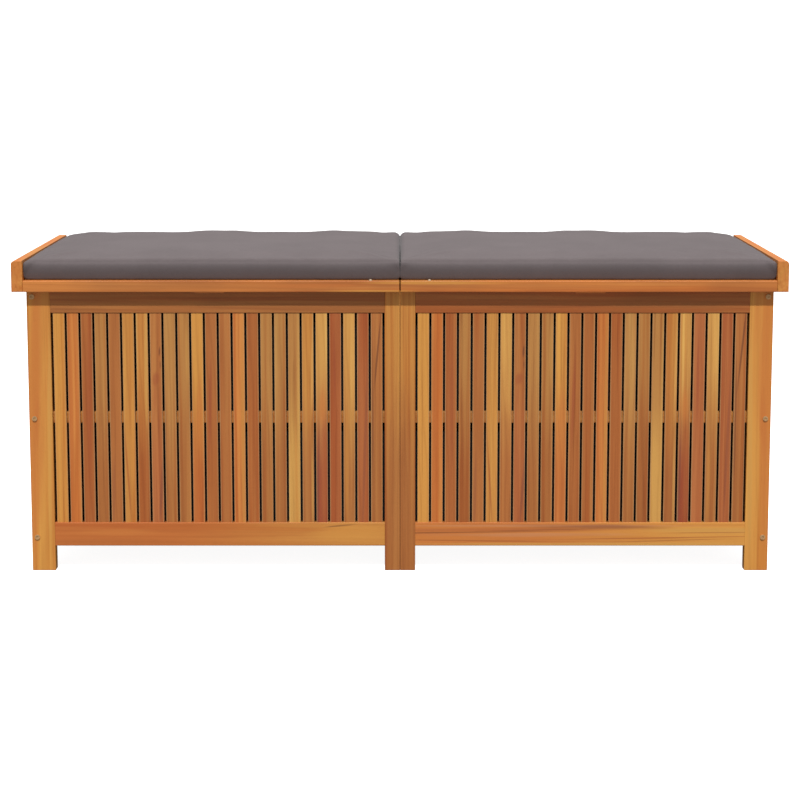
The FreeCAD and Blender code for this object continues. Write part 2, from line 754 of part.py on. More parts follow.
def build_lid_screws(hinge_screws):
    upright = batten_screw()
    sideways = arm_screw()
    screws = list(hinge_screws)
    for x in BATTEN_PLACES:
        for y in board_centres():
            screws.append(copy_at(upright, f"{x} + batten_width / 2", y, f"{LID_UNDER} - batten_drop"))
    middle_slat = SIZES["lid_slat_count"] // 2
    ends = (
        (f"{LID_FRONT} + lid_rail / 2", f"{LID_UNDER} + board / 2"),
        (lid_slat_centre(middle_slat), "seat_height - lid_slat_thick / 2"),
        (f"{LID_BACK} - lid_back_rail / 2", f"{LID_UNDER} + board / 2"),
    )
    for y, z in ends:
        screws.append(copy_at(sideways, "lid_width / 2", y, z))
    screws.append(copy_at(cap_screw(), "cap_offset", f"{LID_FRONT} + cap_inset", "seat_height"))
    left_and_right("{}_lid_screws", group(screws))


def build_cushions():
    length = f"({LID_END} - cushion_arm_play - cushion_seam)"
    cushion = plank("cushion", length, "cushion_depth", "cushion_thick", "cushion_round")
    place(cushion, "cushion_seam", f"{LID_FRONT} + cushion_setback", "seat_height")
    left_and_right("{}_cushion", cushion)


def build_straps():
    """Straps that hold a cushion down: each is sewn to its underside and passes round one slat."""
    reach = "(strap_play + strap_thick)"
    across = f"({LID_SLAT_WIDTH} + 2 * {reach})"
    height = f"(lid_slat_thick + {reach})"
    points = [("0", "0"), (across, "0"), (across, height), (f"{across} - strap_thick", height)]
    points += [(f"{across} - strap_thick", "strap_thick"), ("strap_thick", "strap_thick")]
    points += [("strap_thick", height), ("0", height)]
    strap = moulding("strap", points, "strap_width")
    straps = []
    for slat in STRAP_SLATS:
        for x in STRAP_PLACES:
            y = f"{LID_SLAT_FIRST} + {slat} * {LID_SLAT_PITCH} - {reach}"
            straps.append(copy_at(strap, x, y, f"{LID_SLAT_LOW} - {reach}"))
    left_and_right("{}_cushion_straps", group(straps))


# ---- lid stays -------------------------------------------------------------------------------


def build_stays():
    """A slotted bar. It turns on the lid's pivot and slides on a stud in the side top rail."""
    bar = new_body("stay_bar")
    length = f"({STAY_FAR} + stay_end)"
    block(bar, ("stay_thick", "2 * stay_half_width", length), ("0", "-stay_half_width", f"-{length}"))
    for height in ("0", f"-{length}"):
        rod(bar, "stay_half_width", "stay_thick", ("0", "0", height), "x")
    bore(bar, "stud_radius + pin_play", "stay_thick + 2 * overrun", ("-overrun", "0", "0"), "x")
    half_slot = "(stud_radius + stud_play)"
    near = f"({STAY_NEAR} - stud_play)"
    far = f"({STAY_FAR} + stud_play)"
    slot_size = ("stay_thick + 2 * overrun", f"2 * {half_slot}", f"{far} - {near}")
    slot_block(bar, slot_size, ("-overrun", f"-{half_slot}", f"-{far}"))
    for height in (near, far):
        bore(bar, half_slot, "stay_thick + 2 * overrun", ("-overrun", "0", f"-{height}"), "x")
    bar.Placement.Rotation = FreeCAD.Rotation(FreeCAD.Vector(1, 0, 0), 1)
    bar.setExpression("Placement.Rotation.Angle", sized(f"({PIVOT_ANGLE} + {STUD_ANGLE}) / 2"))
    place(bar, STAY_X, PIVOT_Y, PIVOT_Z)
    left_and_right("{}_stay", bar)


def build_stay_pivots():
    """A riveted pin in the lid's outer batten, with a washer behind the bar and a head in front of it."""
    pivot = new_body("stay_pivot")
    length = "pivot_depth + stay_thick + pivot_play + pivot_head"
    rod(pivot, "stud_radius", length, ("-pivot_depth", "0", "0"), "x")
    washer = "batten_stay_gap - pivot_play"
    rod(pivot, "stud_radius + washer_rim", washer, ("-batten_stay_gap", "0", "0"), "x")
    rod(pivot, "stud_radius + head_rim", "pivot_head", ("stay_thick + pivot_play", "0", "0"), "x")
    place(pivot, STAY_X, PIVOT_Y, PIVOT_Z)
    left_and_right("{}_stay_pivot", pivot)


def build_stay_studs():
    """A stud in the side top rail, with a spacer and a head that keep the bar in line."""
    stud = new_body("stay_stud")
    head_start = "-stud_head - stud_play"
    length = "stud_head + stud_play + stay_thick + stay_wall_gap + stud_depth"
    rod(stud, "stud_radius", length, (head_start, "0", "0"), "x")
    spacer_at = ("stay_thick + stud_play", "0", "0")
    rod(stud, "stud_radius + stud_spacer_rim", "stay_wall_gap - stud_play", spacer_at, "x")
    rod(stud, "stud_radius + head_rim", "stud_head", (head_start, "0", "0"), "x")
    place(stud, STAY_X, STUD_Y, STUD_Z)
    node("stay_studs", group([stud, mirror(stud, "x")]))


def check_and_write():
    doc.recompute()
    for thing in doc.Objects:
        if "Invalid" in thing.State or "Error" in thing.State:
            raise ValueError(f"{thing.Name} did not build: {thing.State}")
    for label, thing in nodes.items():
        if thing.Shape.isNull() or not thing.Shape.isValid() or not thing.Shape.Solids:
            raise ValueError(f"{label} has no valid solid")
    os.makedirs("parts", exist_ok=True)
    for label, thing in nodes.items():
        thing.Shape.exportStep(f"parts/{label}.step")
    print(f"{len(nodes)} sub-parts written")


fill_sheet()
build_legs()
build_centre_posts()
build_front_and_back_panels()
build_side_panels()
build_cross_rails()
build_floor()
build_liner()
build_corner_bolts()
build_post_bolts()
build_dowels()
lid_hinge_screws = build_hinges()
build_lid_rails()
build_lid_slats()
build_battens()
build_arms()
build_lid_screws(lid_hinge_screws)
build_cushions()
build_straps()
build_stays()
build_stay_pivots()
build_stay_studs()
check_and_write()
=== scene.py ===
"""Looks for the slatted storage box: oiled hardwood, grey seat cushions, a black liner, steel fittings."""
import math

import bpy
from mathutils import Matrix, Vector, noise


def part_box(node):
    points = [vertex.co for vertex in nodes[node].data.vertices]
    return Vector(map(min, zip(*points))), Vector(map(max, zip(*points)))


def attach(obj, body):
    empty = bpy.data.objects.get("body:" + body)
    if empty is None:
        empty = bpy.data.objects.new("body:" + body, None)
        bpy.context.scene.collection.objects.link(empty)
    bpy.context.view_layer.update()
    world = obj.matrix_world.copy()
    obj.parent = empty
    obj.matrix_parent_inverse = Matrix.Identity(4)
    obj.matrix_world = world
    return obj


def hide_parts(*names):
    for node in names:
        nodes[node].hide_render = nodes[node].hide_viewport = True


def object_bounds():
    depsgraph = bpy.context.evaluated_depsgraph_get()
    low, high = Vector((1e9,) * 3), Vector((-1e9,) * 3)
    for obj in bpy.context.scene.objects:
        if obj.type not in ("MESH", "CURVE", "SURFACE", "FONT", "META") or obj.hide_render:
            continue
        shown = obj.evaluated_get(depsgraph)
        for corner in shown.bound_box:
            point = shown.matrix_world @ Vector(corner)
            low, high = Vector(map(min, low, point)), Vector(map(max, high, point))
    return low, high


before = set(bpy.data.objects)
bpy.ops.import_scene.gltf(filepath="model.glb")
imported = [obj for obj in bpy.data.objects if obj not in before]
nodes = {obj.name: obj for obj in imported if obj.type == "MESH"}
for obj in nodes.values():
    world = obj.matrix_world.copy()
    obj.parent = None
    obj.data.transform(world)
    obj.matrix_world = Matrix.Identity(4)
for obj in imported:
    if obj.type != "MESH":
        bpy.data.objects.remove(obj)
cad_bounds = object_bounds()
MM = 0.001


# ---- shader graphs ---------------------------------------------------------------------------


def linear(red, green, blue):
    """A colour given as screen values from 0 to 255, as the shader's linear values."""

    def channel(value):
        value /= 255
        return value / 12.92 if value <= 0.04045 else ((value + 0.055) / 1.055) ** 2.4

    return (channel(red), channel(green), channel(blue), 1.0)


class Graph:
    """Short calls for the shader nodes that the materials here use."""

    def __init__(self, name):
        self.material = bpy.data.materials.new(name)
        self.material.use_nodes = True
        self.tree = self.material.node_tree
        self.tree.nodes.clear()
        self.shader = self.tree.nodes.new("ShaderNodeBsdfPrincipled")
        output = self.tree.nodes.new("ShaderNodeOutputMaterial")
        self.tree.links.new(self.shader.outputs[0], output.inputs[0])
        self.position = self.tree.nodes.new("ShaderNodeTexCoord").outputs["Object"]

    def put(self, socket, value):
        if isinstance(value, bpy.types.NodeSocket):
            self.tree.links.new(value, socket)
        else:
            socket.default_value = value

    def set(self, **values):
        for name, value in values.items():
            self.put(self.shader.inputs[name.replace("_", " ")], value)

    def math(self, operation, *values):
        node = self.tree.nodes.new("ShaderNodeMath")
        node.operation = operation
        for socket, value in zip(node.inputs, values):
            self.put(socket, value)
        return node.outputs[0]

    def vector(self, operation, *values):
        node = self.tree.nodes.new("ShaderNodeVectorMath")
        node.operation = operation
        for socket, value in zip(node.inputs, values):
            self.put(socket, value)
        return node.outputs[1] if operation in ("LENGTH", "DISTANCE") else node.outputs[0]

    def split(self, vector):
        node = self.tree.nodes.new("ShaderNodeSeparateXYZ")
        self.put(node.inputs[0], vector)
        return node.outputs[:3]

    def join(self, x, y, z):
        node = self.tree.nodes.new("ShaderNodeCombineXYZ")
        for socket, value in zip(node.inputs, (x, y, z)):
            self.put(socket, value)
        return node.outputs[0]

    def noise(self, vector, scale=1.0, detail=3.0, roughness=0.5, distortion=0.0):
        node = self.tree.nodes.new("ShaderNodeTexNoise")
        self.put(node.inputs["Vector"], vector)
        node.inputs["Scale"].default_value = scale
        node.inputs["Detail"].default_value = detail
        node.inputs["Roughness"].default_value = roughness
        node.inputs["Distortion"].default_value = distortion
        return node.outputs["Fac"]

    def white(self, value):
        """A random colour for each whole value."""
        node = self.tree.nodes.new("ShaderNodeTexWhiteNoise")
        node.noise_dimensions = "1D"
        self.put(node.inputs["W"], value)
        return node.outputs["Color"]

    def smooth(self, value, low, high, to_low=0.0, to_high=1.0):
        node = self.tree.nodes.new("ShaderNodeMapRange")
        node.interpolation_type = "SMOOTHSTEP"
        for socket, number in zip(node.inputs, (value, low, high, to_low, to_high)):
            self.put(socket, number)
        return node.outputs[0]

    def mix(self, factor, first, second, blend="MIX"):
        node = self.tree.nodes.new("ShaderNodeMix")
        node.data_type = "RGBA"
        node.blend_type = blend
        self.put(node.inputs["Factor"], factor)
        self.put(node.inputs[6], first)
        self.put(node.inputs[7], second)
        return node.outputs[2]

    def tint(self, factor, colour, by):
        """Multiply a colour by another, as far as the factor says."""
        return self.mix(factor, colour, (*by, 1.0), "MULTIPLY")

    def steps(self, value, colours):
        """One colour of the list for each equal step of a value from 0 to 1."""
        node = self.tree.nodes.new("ShaderNodeValToRGB")
        ramp = node.color_ramp
        ramp.interpolation = "CONSTANT"
        ramp.elements[0].color = colours[0]
        ramp.elements[1].position = 1 / len(colours)
        ramp.elements[1].color = colours[1 % len(colours)]
        for number in range(2, len(colours)):
            ramp.elements.new(number / len(colours)).color = colours[number]
        self.put(node.inputs[0], value)
        return node.outputs[0]

    def bump(self, height, strength, distance, after=None):
        node = self.tree.nodes.new("ShaderNodeBump")
        node.inputs["Strength"].default_value = strength
        node.inputs["Distance"].default_value = distance
        self.put(node.inputs["Height"], height)
        if after is not None:
            self.put(node.inputs["Normal"], after)
        return node.outputs[0]


def dress(names, material):
    """Give CAD nodes a material."""
    for name in names:
        mesh = nodes[name].data
        mesh.materials.clear()
        mesh.materials.append(material)


def solids(name):
    """The low and high corner of each separate solid in a CAD node, sorted by place."""
    mesh = nodes[name].data
    leader = {}

    def find(key):
        while leader[key] != key:
            leader[key] = leader[leader[key]]
            key = leader[key]
        return key

    keys = [tuple(round(number, 5) for number in vertex.co) for vertex in mesh.vertices]
    leader.update((key, key) for key in keys)
    for face in mesh.polygons:
        first, *rest = (keys[vertex] for vertex in face.vertices)
        for key in rest:
            leader[find(key)] = find(first)
    clusters = {}
    for key in leader:
        clusters.setdefault(find(key), []).append(key)
    boxes = []
    for points in clusters.values():
        sides = list(zip(*points))
        boxes.append((Vector(min(side) for side in sides), Vector(max(side) for side in sides)))
    return sorted(boxes, key=lambda box: tuple(round(number, 4) for number in box[0]))


# ---- oiled hardwood --------------------------------------------------------------------------

TONES = {
    "honey": linear(207, 144, 66),
    "pale": linear(206, 150, 76),
    "amber": linear(194, 130, 60),
    "orange": linear(196, 118, 55),
    "copper": linear(187, 106, 49),
    "rose": linear(198, 138, 96),
    "tan": linear(180, 124, 64),
    "straw": linear(202, 150, 76),
    "brown": linear(173, 105, 52),
    "umber": linear(166, 101, 49),
    "cocoa": linear(156, 94, 46),
    "russet": linear(169, 97, 46),
    "red": linear(170, 95, 50),
    "wine": linear(152, 73, 42),
    "plum": linear(128, 70, 50),
    "bark": linear(108, 60, 36),
    # the pale edge tone: partly wear, partly a painted highlight where slat edges catch the light
    "wear_and_highlight": linear(194, 156, 108),
}

# each slat of a bay from left to right: its tone at the top and at the bottom
SLAT_TONES = [
    ("honey", "honey"),
    ("orange", "orange"),
    ("russet", "russet"),
    ("tan", "umber"),
    ("brown", "brown"),
    ("amber", "amber"),
    ("pale", "brown"),
    ("brown", "red"),
    ("tan", "umber"),
    ("tan", "umber"),
    ("honey", "copper"),
    ("brown", "russet"),
    ("brown", "brown"),
    ("orange", "orange"),
    ("russet", "russet"),
    ("tan", "umber"),
    ("tan", "umber"),
    ("tan", "straw"),
    ("amber", "umber"),
    ("pale", "wine"),
    ("red", "red"),
    ("pale", "umber"),
    ("red", "red"),
    ("brown", "umber"),
]
# the heights (m) between which a board goes from its top tone to its bottom tone
SLAT_FADE = (0.44, 0.18)
POST_FADE = (0.46, 0.22)
# the same for the bottom rails, along the rail
LEFT_RAIL_FADE = (-0.5, -0.05)
RIGHT_RAIL_FADE = (0.2, 0.6)
FRONT_SLAT_GRAIN = 1.3

# figure in single slats: slat number from 0, place across the slat and height (mm), half width and
# half length (mm), lean (mm across per mm up), tone and strength
SLAT_FIGURE = [
    (1, -6, 290, 5, 260, 0.0, "copper", 0.55),
    (2, 2, 330, 5, 200, 0.0, "wine", 0.4),
    (4, -6, 150, 3, 90, 0.02, "plum", 0.35),
    (5, -4, 180, 2.5, 110, -0.06, "russet", 0.75),
    (5, 5, 250, 5, 160, 0.02, "honey", 0.5),
    (6, 7, 420, 4, 130, 0.0, "straw", 0.7),
    (7, 7, 438, 2.2, 12, 0.05, "bark", 0.75),
    (7, 8, 412, 1.6, 9, 0.0, "bark", 0.5),
    (7, -1, 384, 8, 15, 0.1, "wine", 0.5),
    (7, -3, 352, 3, 34, 0.03, "red", 0.55),
    (7, 7, 160, 4, 90, 0.07, "plum", 0.6),
    (9, 7, 440, 5, 80, 0.0, "straw", 0.4),
    (10, 2, 300, 8, 90, 0.0, "orange", 0.5),
    (11, -3, 330, 4, 120, 0.03, "wine", 0.55),
    (11, 4, 180, 4, 90, 0.0, "russet", 0.6),
    (13, 7, 270, 4, 280, 0.0, "amber", 0.8),
    (17, 9, 300, 4, 230, 0.0, "straw", 0.6),
    (17, -4, 200, 5, 90, 0.0, "straw", 0.5),
    (18, 9, 420, 3.5, 130, 0.02, "pale", 0.95),
    (18, 8, 180, 3, 120, 0.0, "straw", 0.6),
    (19, -8, 170, 3, 150, 0.02, "plum", 0.75),
    (19, 4, 190, 6, 130, 0.0, "red", 0.6),
    (19, 0, 330, 9, 45, 0.0, "orange", 0.6),
    (20, -2, 400, 3.5, 110, 0.0, "wine", 0.6),
    (21, -5, 200, 5, 110, 0.0, "amber", 0.6),
    (22, 4, 250, 3.5, 240, 0.03, "plum", 0.45),
    (23, 2, 440, 2.2, 90, 0.09, "bark", 0.7),
    (23, -8, 300, 2.5, 170, 0.0, "bark", 0.55),
]

# figure in other boards, in the same units; the place across is from the middle of the board. Two marks
# below are painted light and not figure: a shade line down the post seam and a highlight on a rail edge
LEG_FIGURE = [
    (None, 14, 330, 26, 380, -0.05, "orange", 0.75),
    (None, 8, 300, 9, 70, -0.05, "copper", 0.4),
    (None, -17, 260, 6, 240, -0.02, "straw", 0.55),
]
POST_FIGURE_AND_SEAM_SHADE = [
    # the first mark is painted shade: a dark line down the seam where the two centre posts meet
    (None, -15, 280, 1.1, 900, 0.0, "bark", 0.6),
    (None, 9, 300, 5, 240, 0.0, "amber", 0.4),
]
LEFT_RAIL_FIGURE = [
    (None, -16, -600, 8, 200, 0.0, "russet", 0.35),
    (None, 17, -118, 2.2, 40, 0.09, "bark", 0.8),
    (None, 4, -560, 7, 90, 0.01, "orange", 0.6),
    (None, 3, -90, 22, 90, 0.0, "honey", 0.6),
]
RIGHT_RAIL_FIGURE_AND_HIGHLIGHT = [
    # the first mark, a pale band near the top edge, is a painted highlight where the rounded edge catches the
    # light
    (None, 17, 330, 3, 420, 0.0, "rose", 0.5),
    (None, 9, 190, 5, 260, 0.004, "red", 0.6),
    (None, 15, 400, 6, 170, -0.006, "plum", 0.62),
    (None, 4, 150, 1.8, 230, 0.012, "bark", 0.55),
    (None, 8, 250, 1.4, 150, 0.02, "bark", 0.45),
    (None, -1, 260, 5, 210, 0.0, "rose", 0.5),
    (None, -13, 130, 1.8, 210, -0.012, "russet", 0.8),
    (None, -8, 480, 1.8, 260, 0.016, "russet", 0.8),
    (None, -13, 520, 1.2, 150, 0.03, "umber", 0.7),
    (None, -20, 400, 3.5, 420, 0.0, "straw", 0.7),
    (None, 8, 620, 6, 150, 0.0, "straw", 0.6),
    (None, 3, 600, 1.2, 100, 0.01, "umber", 0.6),
]
LID_RAIL_FIGURE = [
    (None, 0, -420, 6, 300, 0.0, "brown", 0.5),
    (None, 2, -160, 5, 120, 0.01, "copper", 0.6),
    (None, -8, -60, 4, 120, 0.0, "honey", 0.7),
    (None, 8, 60, 4, 150, 0.0, "honey", 0.7),
    (None, 0, 260, 6, 220, -0.01, "brown", 0.5),
]


# painted shade: what the colour is multiplied by on the strip of a rail behind the slats, where the slats
# shade it
SHADE_BEHIND_SLATS = (0.12, 0.12, 0.12)
# how far each board's pattern is moved from the next (m)
BOARD_SHIFT = 3.0
# warm bands, pale bands and dark streaks: texture scale across and along the board, detail, roughness and
# distortion of the noise, the values between which it tells, how strong it is, and its tint
GRAIN_BANDS = (
    (46.0, 0.9, 3.0, 0.55, 0.5, 0.46, 0.66, 0.85, (0.88, 0.70, 0.58)),
    (70.0, 1.3, 2.0, 0.50, 0.4, 0.50, 0.70, 0.80, (1.14, 1.28, 1.34)),
    (150.0, 2.0, 4.0, 0.62, 0.3, 0.54, 0.76, 0.60, (0.66, 0.55, 0.50)),
)
RING_SHARE = 0.24
RING_TINT = (0.70, 0.60, 0.54)
PORE_TINT = (0.62, 0.50, 0.42)
# how far in the pale slat edges reach: partly wear, partly a painted highlight
WEAR_AND_HIGHLIGHT_EDGE = 2.4 * MM
# growth rings: how many in a metre, how far the pith wanders and stands behind the board (m), and its lean
RINGS = 210.0
PITH_WANDER = 0.05
PITH_DEPTH = 0.03
PITH_LEAN = 0.02


def board_space(graph, along, index):
    """Coordinates in metres with Z along the grain, moved at random for each board."""
    x, y, z = graph.split(graph.position)
    across = {"x": (y, z, x), "y": (x, z, y), "z": (x, y, z)}[along]
    shift = graph.vector("SCALE", graph.white(index), (0, 0, 0))
    shift.node.inputs["Scale"].default_value = BOARD_SHIFT
    return graph.vector("ADD", graph.join(*across), shift)


def stretched(graph, space, across, along):
    """Board space scaled to texture space: features per metre across and along the grain."""
    return graph.vector("MULTIPLY", space, (across, across, along))


def growth_rings(graph, space):
    """Growth rings cut lengthwise: the distance from a wandering pith, going up and down once a ring."""
    a, b, along = graph.split(space)
    wander = graph.noise(stretched(graph, space, 9.0, 1.6), detail=2.0)
    lean = graph.math("MULTIPLY", along, PITH_LEAN)
    x = graph.math("ADD", a, graph.math("MULTIPLY", wander, PITH_WANDER))
    y = graph.math("ADD", graph.math("ADD", b, PITH_DEPTH), lean)
    rings = graph.math("MULTIPLY", graph.vector("LENGTH", graph.join(x, y, 0.0)), RINGS)
    fine = graph.noise(stretched(graph, space, 60.0, 3.0), detail=3.0)
    return graph.math("PINGPONG", graph.math("ADD", rings, graph.math("MULTIPLY", fine, 1.4)), 1.0)


def marked(graph, colour, index, across, place, wobble, mark):
    """The colour with a long soft patch in one board, or in every board if its number is None."""
    number, side, middle, half_width, half_length, lean, tone, strength = mark
    up = graph.math("SUBTRACT", place, middle * MM)
    leaning = graph.math("MULTIPLY", up, lean)
    offset = graph.math("SUBTRACT", graph.math("SUBTRACT", across, side * MM), leaning)
    u = graph.math("DIVIDE", offset, half_width * MM)
    v = graph.math("DIVIDE", up, half_length * MM)
    distance = graph.math("ADD", graph.vector("LENGTH", graph.join(u, v, 0.0)), wobble)
    mask = graph.smooth(distance, 1.15, 0.35, 0.0, strength)
    if number is not None:
        mask = graph.math("MULTIPLY", mask, graph.math("COMPARE", index, number, 0.1))
    return graph.mix(mask, colour, TONES[tone])


def board_base(graph, space, index, tones, fade, place):
    """The board's own colour, from its top tone to its bottom tone."""
    share = graph.math("DIVIDE", graph.math("ADD", graph.math("MODULO", index, len(tones)), 0.5), len(tones))
    top = graph.steps(share, [TONES[pair[0]] for pair in tones])
    bottom = graph.steps(share, [TONES[pair[1]] for pair in tones])
    drift = graph.noise(stretched(graph, space, 12.0, 3.0), detail=3.0, roughness=0.6)
    if fade is None:
        return graph.mix(graph.smooth(drift, 0.35, 0.65), top, bottom)
    level = graph.math("ADD", place, graph.math("MULTIPLY", graph.math("SUBTRACT", drift, 0.5), 0.2))
    return graph.mix(graph.smooth(level, fade[0], fade[1]), top, bottom)


def grain(graph, space, colour, strength):
    """Broad warm and pale bands, thin dark streaks and growth rings, all drawn out along the board."""
    for across, along, detail, roughness, distortion, low, high, share, tint in GRAIN_BANDS:
        band = graph.noise(stretched(graph, space, across, along), 1.0, detail, roughness, distortion)
        colour = graph.tint(graph.smooth(band, low, high, 0.0, share * strength), colour, tint)
    rings = growth_rings(graph, space)
    return graph.tint(graph.smooth(rings, 0.45, 1.0, 0.0, RING_SHARE * strength), colour, RING_TINT)


def hardwood(name, along, tones, index, fade=None, figure=(), across=None, edge=None, strength=1.0,
             behind=None):
    """Oiled acacia-like wood.

    The index tells the boards of a node apart. Across is the place from the middle of a board, and edge is
    half the width of one with pale edges, partly wear and partly a painted highlight. Strength scales the
    grain.
    Behind is an axis, a middle and a reach: nearer the middle than the reach the rail stands behind the
    slats, and painted shade darkens it there.
    """
    graph = Graph(name)
    number = index(graph)
    space = board_space(graph, along, number)
    place = graph.split(graph.position)["xyz".index(along)]
    colour = grain(graph, space, board_base(graph, space, number, tones, fade, place), strength)
    if across is not None:
        side = across(graph)
        wobble = graph.noise(stretched(graph, space, 60.0, 5.0), detail=2.0)
        wobble = graph.math("MULTIPLY", graph.math("SUBTRACT", wobble, 0.5), 1.1)
        for mark in figure:
            colour = marked(graph, colour, number, side, place, wobble, mark)
    # pale edges: partly wear, partly a painted highlight along the slat edges
    if edge is not None:
        wear_and_highlight = graph.smooth(graph.math("ABSOLUTE", side), edge - WEAR_AND_HIGHLIGHT_EDGE, edge - 0.4 * MM, 0.0, 0.5)
        colour = graph.mix(wear_and_highlight, colour, TONES["wear_and_highlight"])
    # painted shade on the strip of a rail behind the slats
    if behind is not None:
        axis, middle, reach = behind
        depth = graph.split(graph.position)["xyz".index(axis)]
        offset = graph.math("ABSOLUTE", graph.math("SUBTRACT", depth, middle))
        painted_shade = graph.smooth(offset, reach - 0.6 * MM, reach, 1.0, 0.0)
        colour = graph.tint(painted_shade, colour, SHADE_BEHIND_SLATS)
    pores = graph.noise(stretched(graph, space, 1300.0, 28.0), detail=2.0, roughness=0.6)
    colour = graph.tint(graph.smooth(pores, 0.60, 0.75, 0.0, 0.30), colour, PORE_TINT)
    graph.set(Base_Color=colour)
    graph.set(Roughness=graph.smooth(pores, 0.3, 0.8, 0.44, 0.60))
    graph.shader.inputs["Specular IOR Level"].default_value = 0.32
    open_pores = graph.math("SUBTRACT", 1.0, graph.smooth(pores, 0.55, 0.8))
    fibre = graph.bump(graph.noise(stretched(graph, space, 420.0, 9.0), detail=3.0), 0.25, 0.4 * MM)
    graph.set(Normal=graph.bump(open_pores, 0.35, 0.25 * MM, fibre))
    return graph.material


def slat_backs(axis, name):
    """The axis, middle and reach between the back faces of opposite slat panels, from one of the panels."""
    low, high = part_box(name)
    side = "xyz".index(axis)
    middle = (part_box("front_left_leg")[0][side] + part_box("back_right_leg")[1][side]) / 2
    return axis, middle, min(abs(low[side] - middle), abs(high[side] - middle))


def single(number):
    """The same board number all over a node."""
    return lambda graph: graph.math("ADD", 0.0, number)


def counted(axis, boxes, first=0):
    """Numbers the boards of a row along an axis."""
    side = "xyz".index(axis)
    pitch = boxes[1][0][side] - boxes[0][0][side]
    start = boxes[0][0][side] - (pitch - boxes[0][1][side] + boxes[0][0][side]) / 2

    def index(graph):
        place = graph.split(graph.position)[side]
        steps = graph.math("FLOOR", graph.math("DIVIDE", graph.math("SUBTRACT", place, start), pitch))
        return graph.math("ADD", steps, first)

    return index


def from_middle(axis, boxes, mirrored=False):
    """The distance across a board from its own middle, for a row of boards or for one."""
    side = "xyz".index(axis)
    middle = (boxes[0][0][side] + boxes[0][1][side]) / 2
    pitch = boxes[1][0][side] - boxes[0][0][side] if len(boxes) > 1 else 0

    def across(graph):
        place = graph.split(graph.position)[side]
        if mirrored:
            place = graph.math("ABSOLUTE", place)
        offset = graph.math("SUBTRACT", place, middle)
        if not pitch:
            return offset
        steps = graph.math("ROUND", graph.math("DIVIDE", offset, pitch))
        return graph.math("SUBTRACT", offset, graph.math("MULTIPLY", steps, pitch))

    return across


def dress_slats():
    """The slats of the four bays and the two sides. Each slat has its own tone and figure."""
    for bay in ("left", "right"):
        boxes = solids(f"front_{bay}_slats")
        half = (boxes[0][1].x - boxes[0][0].x) / 2
        across = from_middle("x", boxes)
        wood = hardwood(f"{bay}_bay_wood", "z", SLAT_TONES, counted("x", boxes), SLAT_FADE, SLAT_FIGURE,
                        across, half, FRONT_SLAT_GRAIN)
        dress([f"front_{bay}_slats", f"back_{bay}_slats"], wood)
    boxes = solids("right_side_slats")
    index = counted("y", boxes, first=4)
    across = from_middle("y", boxes)
    wood = hardwood("side_wood", "z", SLAT_TONES, index, SLAT_FADE, SLAT_FIGURE, across, half)
    dress(["left_side_slats", "right_side_slats"], wood)


def dress_uprights():
    """Legs, stiles and centre posts."""
    leg = solids("front_right_leg")
    across = from_middle("x", leg, mirrored=True)
    wood = hardwood("front_leg_wood", "z", [("honey", "honey")], single(1), None, LEG_FIGURE, across)
    dress(["front_left_leg", "front_right_leg"], wood)
    wood = hardwood("back_leg_wood", "z", [("honey", "amber")], single(7))
    dress(["back_left_leg", "back_right_leg"], wood)
    stiles = solids("right_side_stiles")
    tones = [("honey", "amber"), ("amber", "honey")]
    wood = hardwood("stile_wood", "z", tones, counted("y", stiles, first=2))
    dress(["left_side_stiles", "right_side_stiles"], wood)
    tones = [("amber", "umber")]
    across = from_middle("x", solids("front_right_centre_post"), mirrored=True)
    posts = ("front_left_centre_post", "front_right_centre_post", "back_centre_posts")
    for number, name in enumerate(posts, start=11):
        wood = hardwood(name + "_wood", "z", tones, single(number), POST_FADE, POST_FIGURE_AND_SEAM_SHADE, across)
        dress([name], wood)


def dress_rails():
    """Top, middle and bottom rails of every panel."""
    dark = [("cocoa", "umber")]
    dress(["front_left_top_rail", "back_top_rails"], hardwood("left_top_rail_wood", "x", dark, single(20)))
    dress(["front_right_top_rail"], hardwood("right_top_rail_wood", "x", [("cocoa", "russet")], single(21)))
    # the strip of the bottom rails behind the slats gets painted shade
    backs = slat_backs("y", "front_left_slats")
    middle = from_middle("z", solids("front_left_bottom_rail"))
    wood = hardwood("left_bottom_rail_wood", "x", [("copper", "amber")], single(22), LEFT_RAIL_FADE,
                    LEFT_RAIL_FIGURE, middle, strength=0.7, behind=backs)
    dress(["front_left_bottom_rail", "back_bottom_rails"], wood)
    wood = hardwood("right_bottom_rail_wood", "x", [("orange", "honey")], single(23), RIGHT_RAIL_FADE,
                    RIGHT_RAIL_FIGURE_AND_HIGHLIGHT, middle, strength=0.6, behind=backs)
    dress(["front_right_bottom_rail"], wood)
    wood = hardwood("middle_wood", "x", [("amber", "tan")], single(24))
    dress(["front_middle_rails", "back_middle_rails"], wood)
    tones = [("orange", "brown"), ("amber", "umber")]
    # the strip of the side rails behind the side slats gets painted shade
    wood = hardwood("side_rail_wood", "y", tones, single(25), behind=slat_backs("x", "left_side_slats"))
    dress(["left_side_rails", "right_side_rails"], wood)


def dress_inside():
    """Cross rails, cleats, floor boards and dowels."""
    dress(["centre_cross_rails"], hardwood("cross_rail_wood", "y", [("brown", "umber")], single(30)))
    dress(["floor_cleats"], hardwood("cleat_wood", "x", [("brown", "umber")], single(31)))
    boards = solids("floor_boards")
    tones = [("orange", "brown"), ("amber", "umber"), ("tan", "brown")]
    dress(["floor_boards"], hardwood("floor_wood", "y", tones, counted("x", boards, first=20)))
    dress(["rail_dowels"], hardwood("dowel_wood", "x", [("straw", "pale")], single(32)))


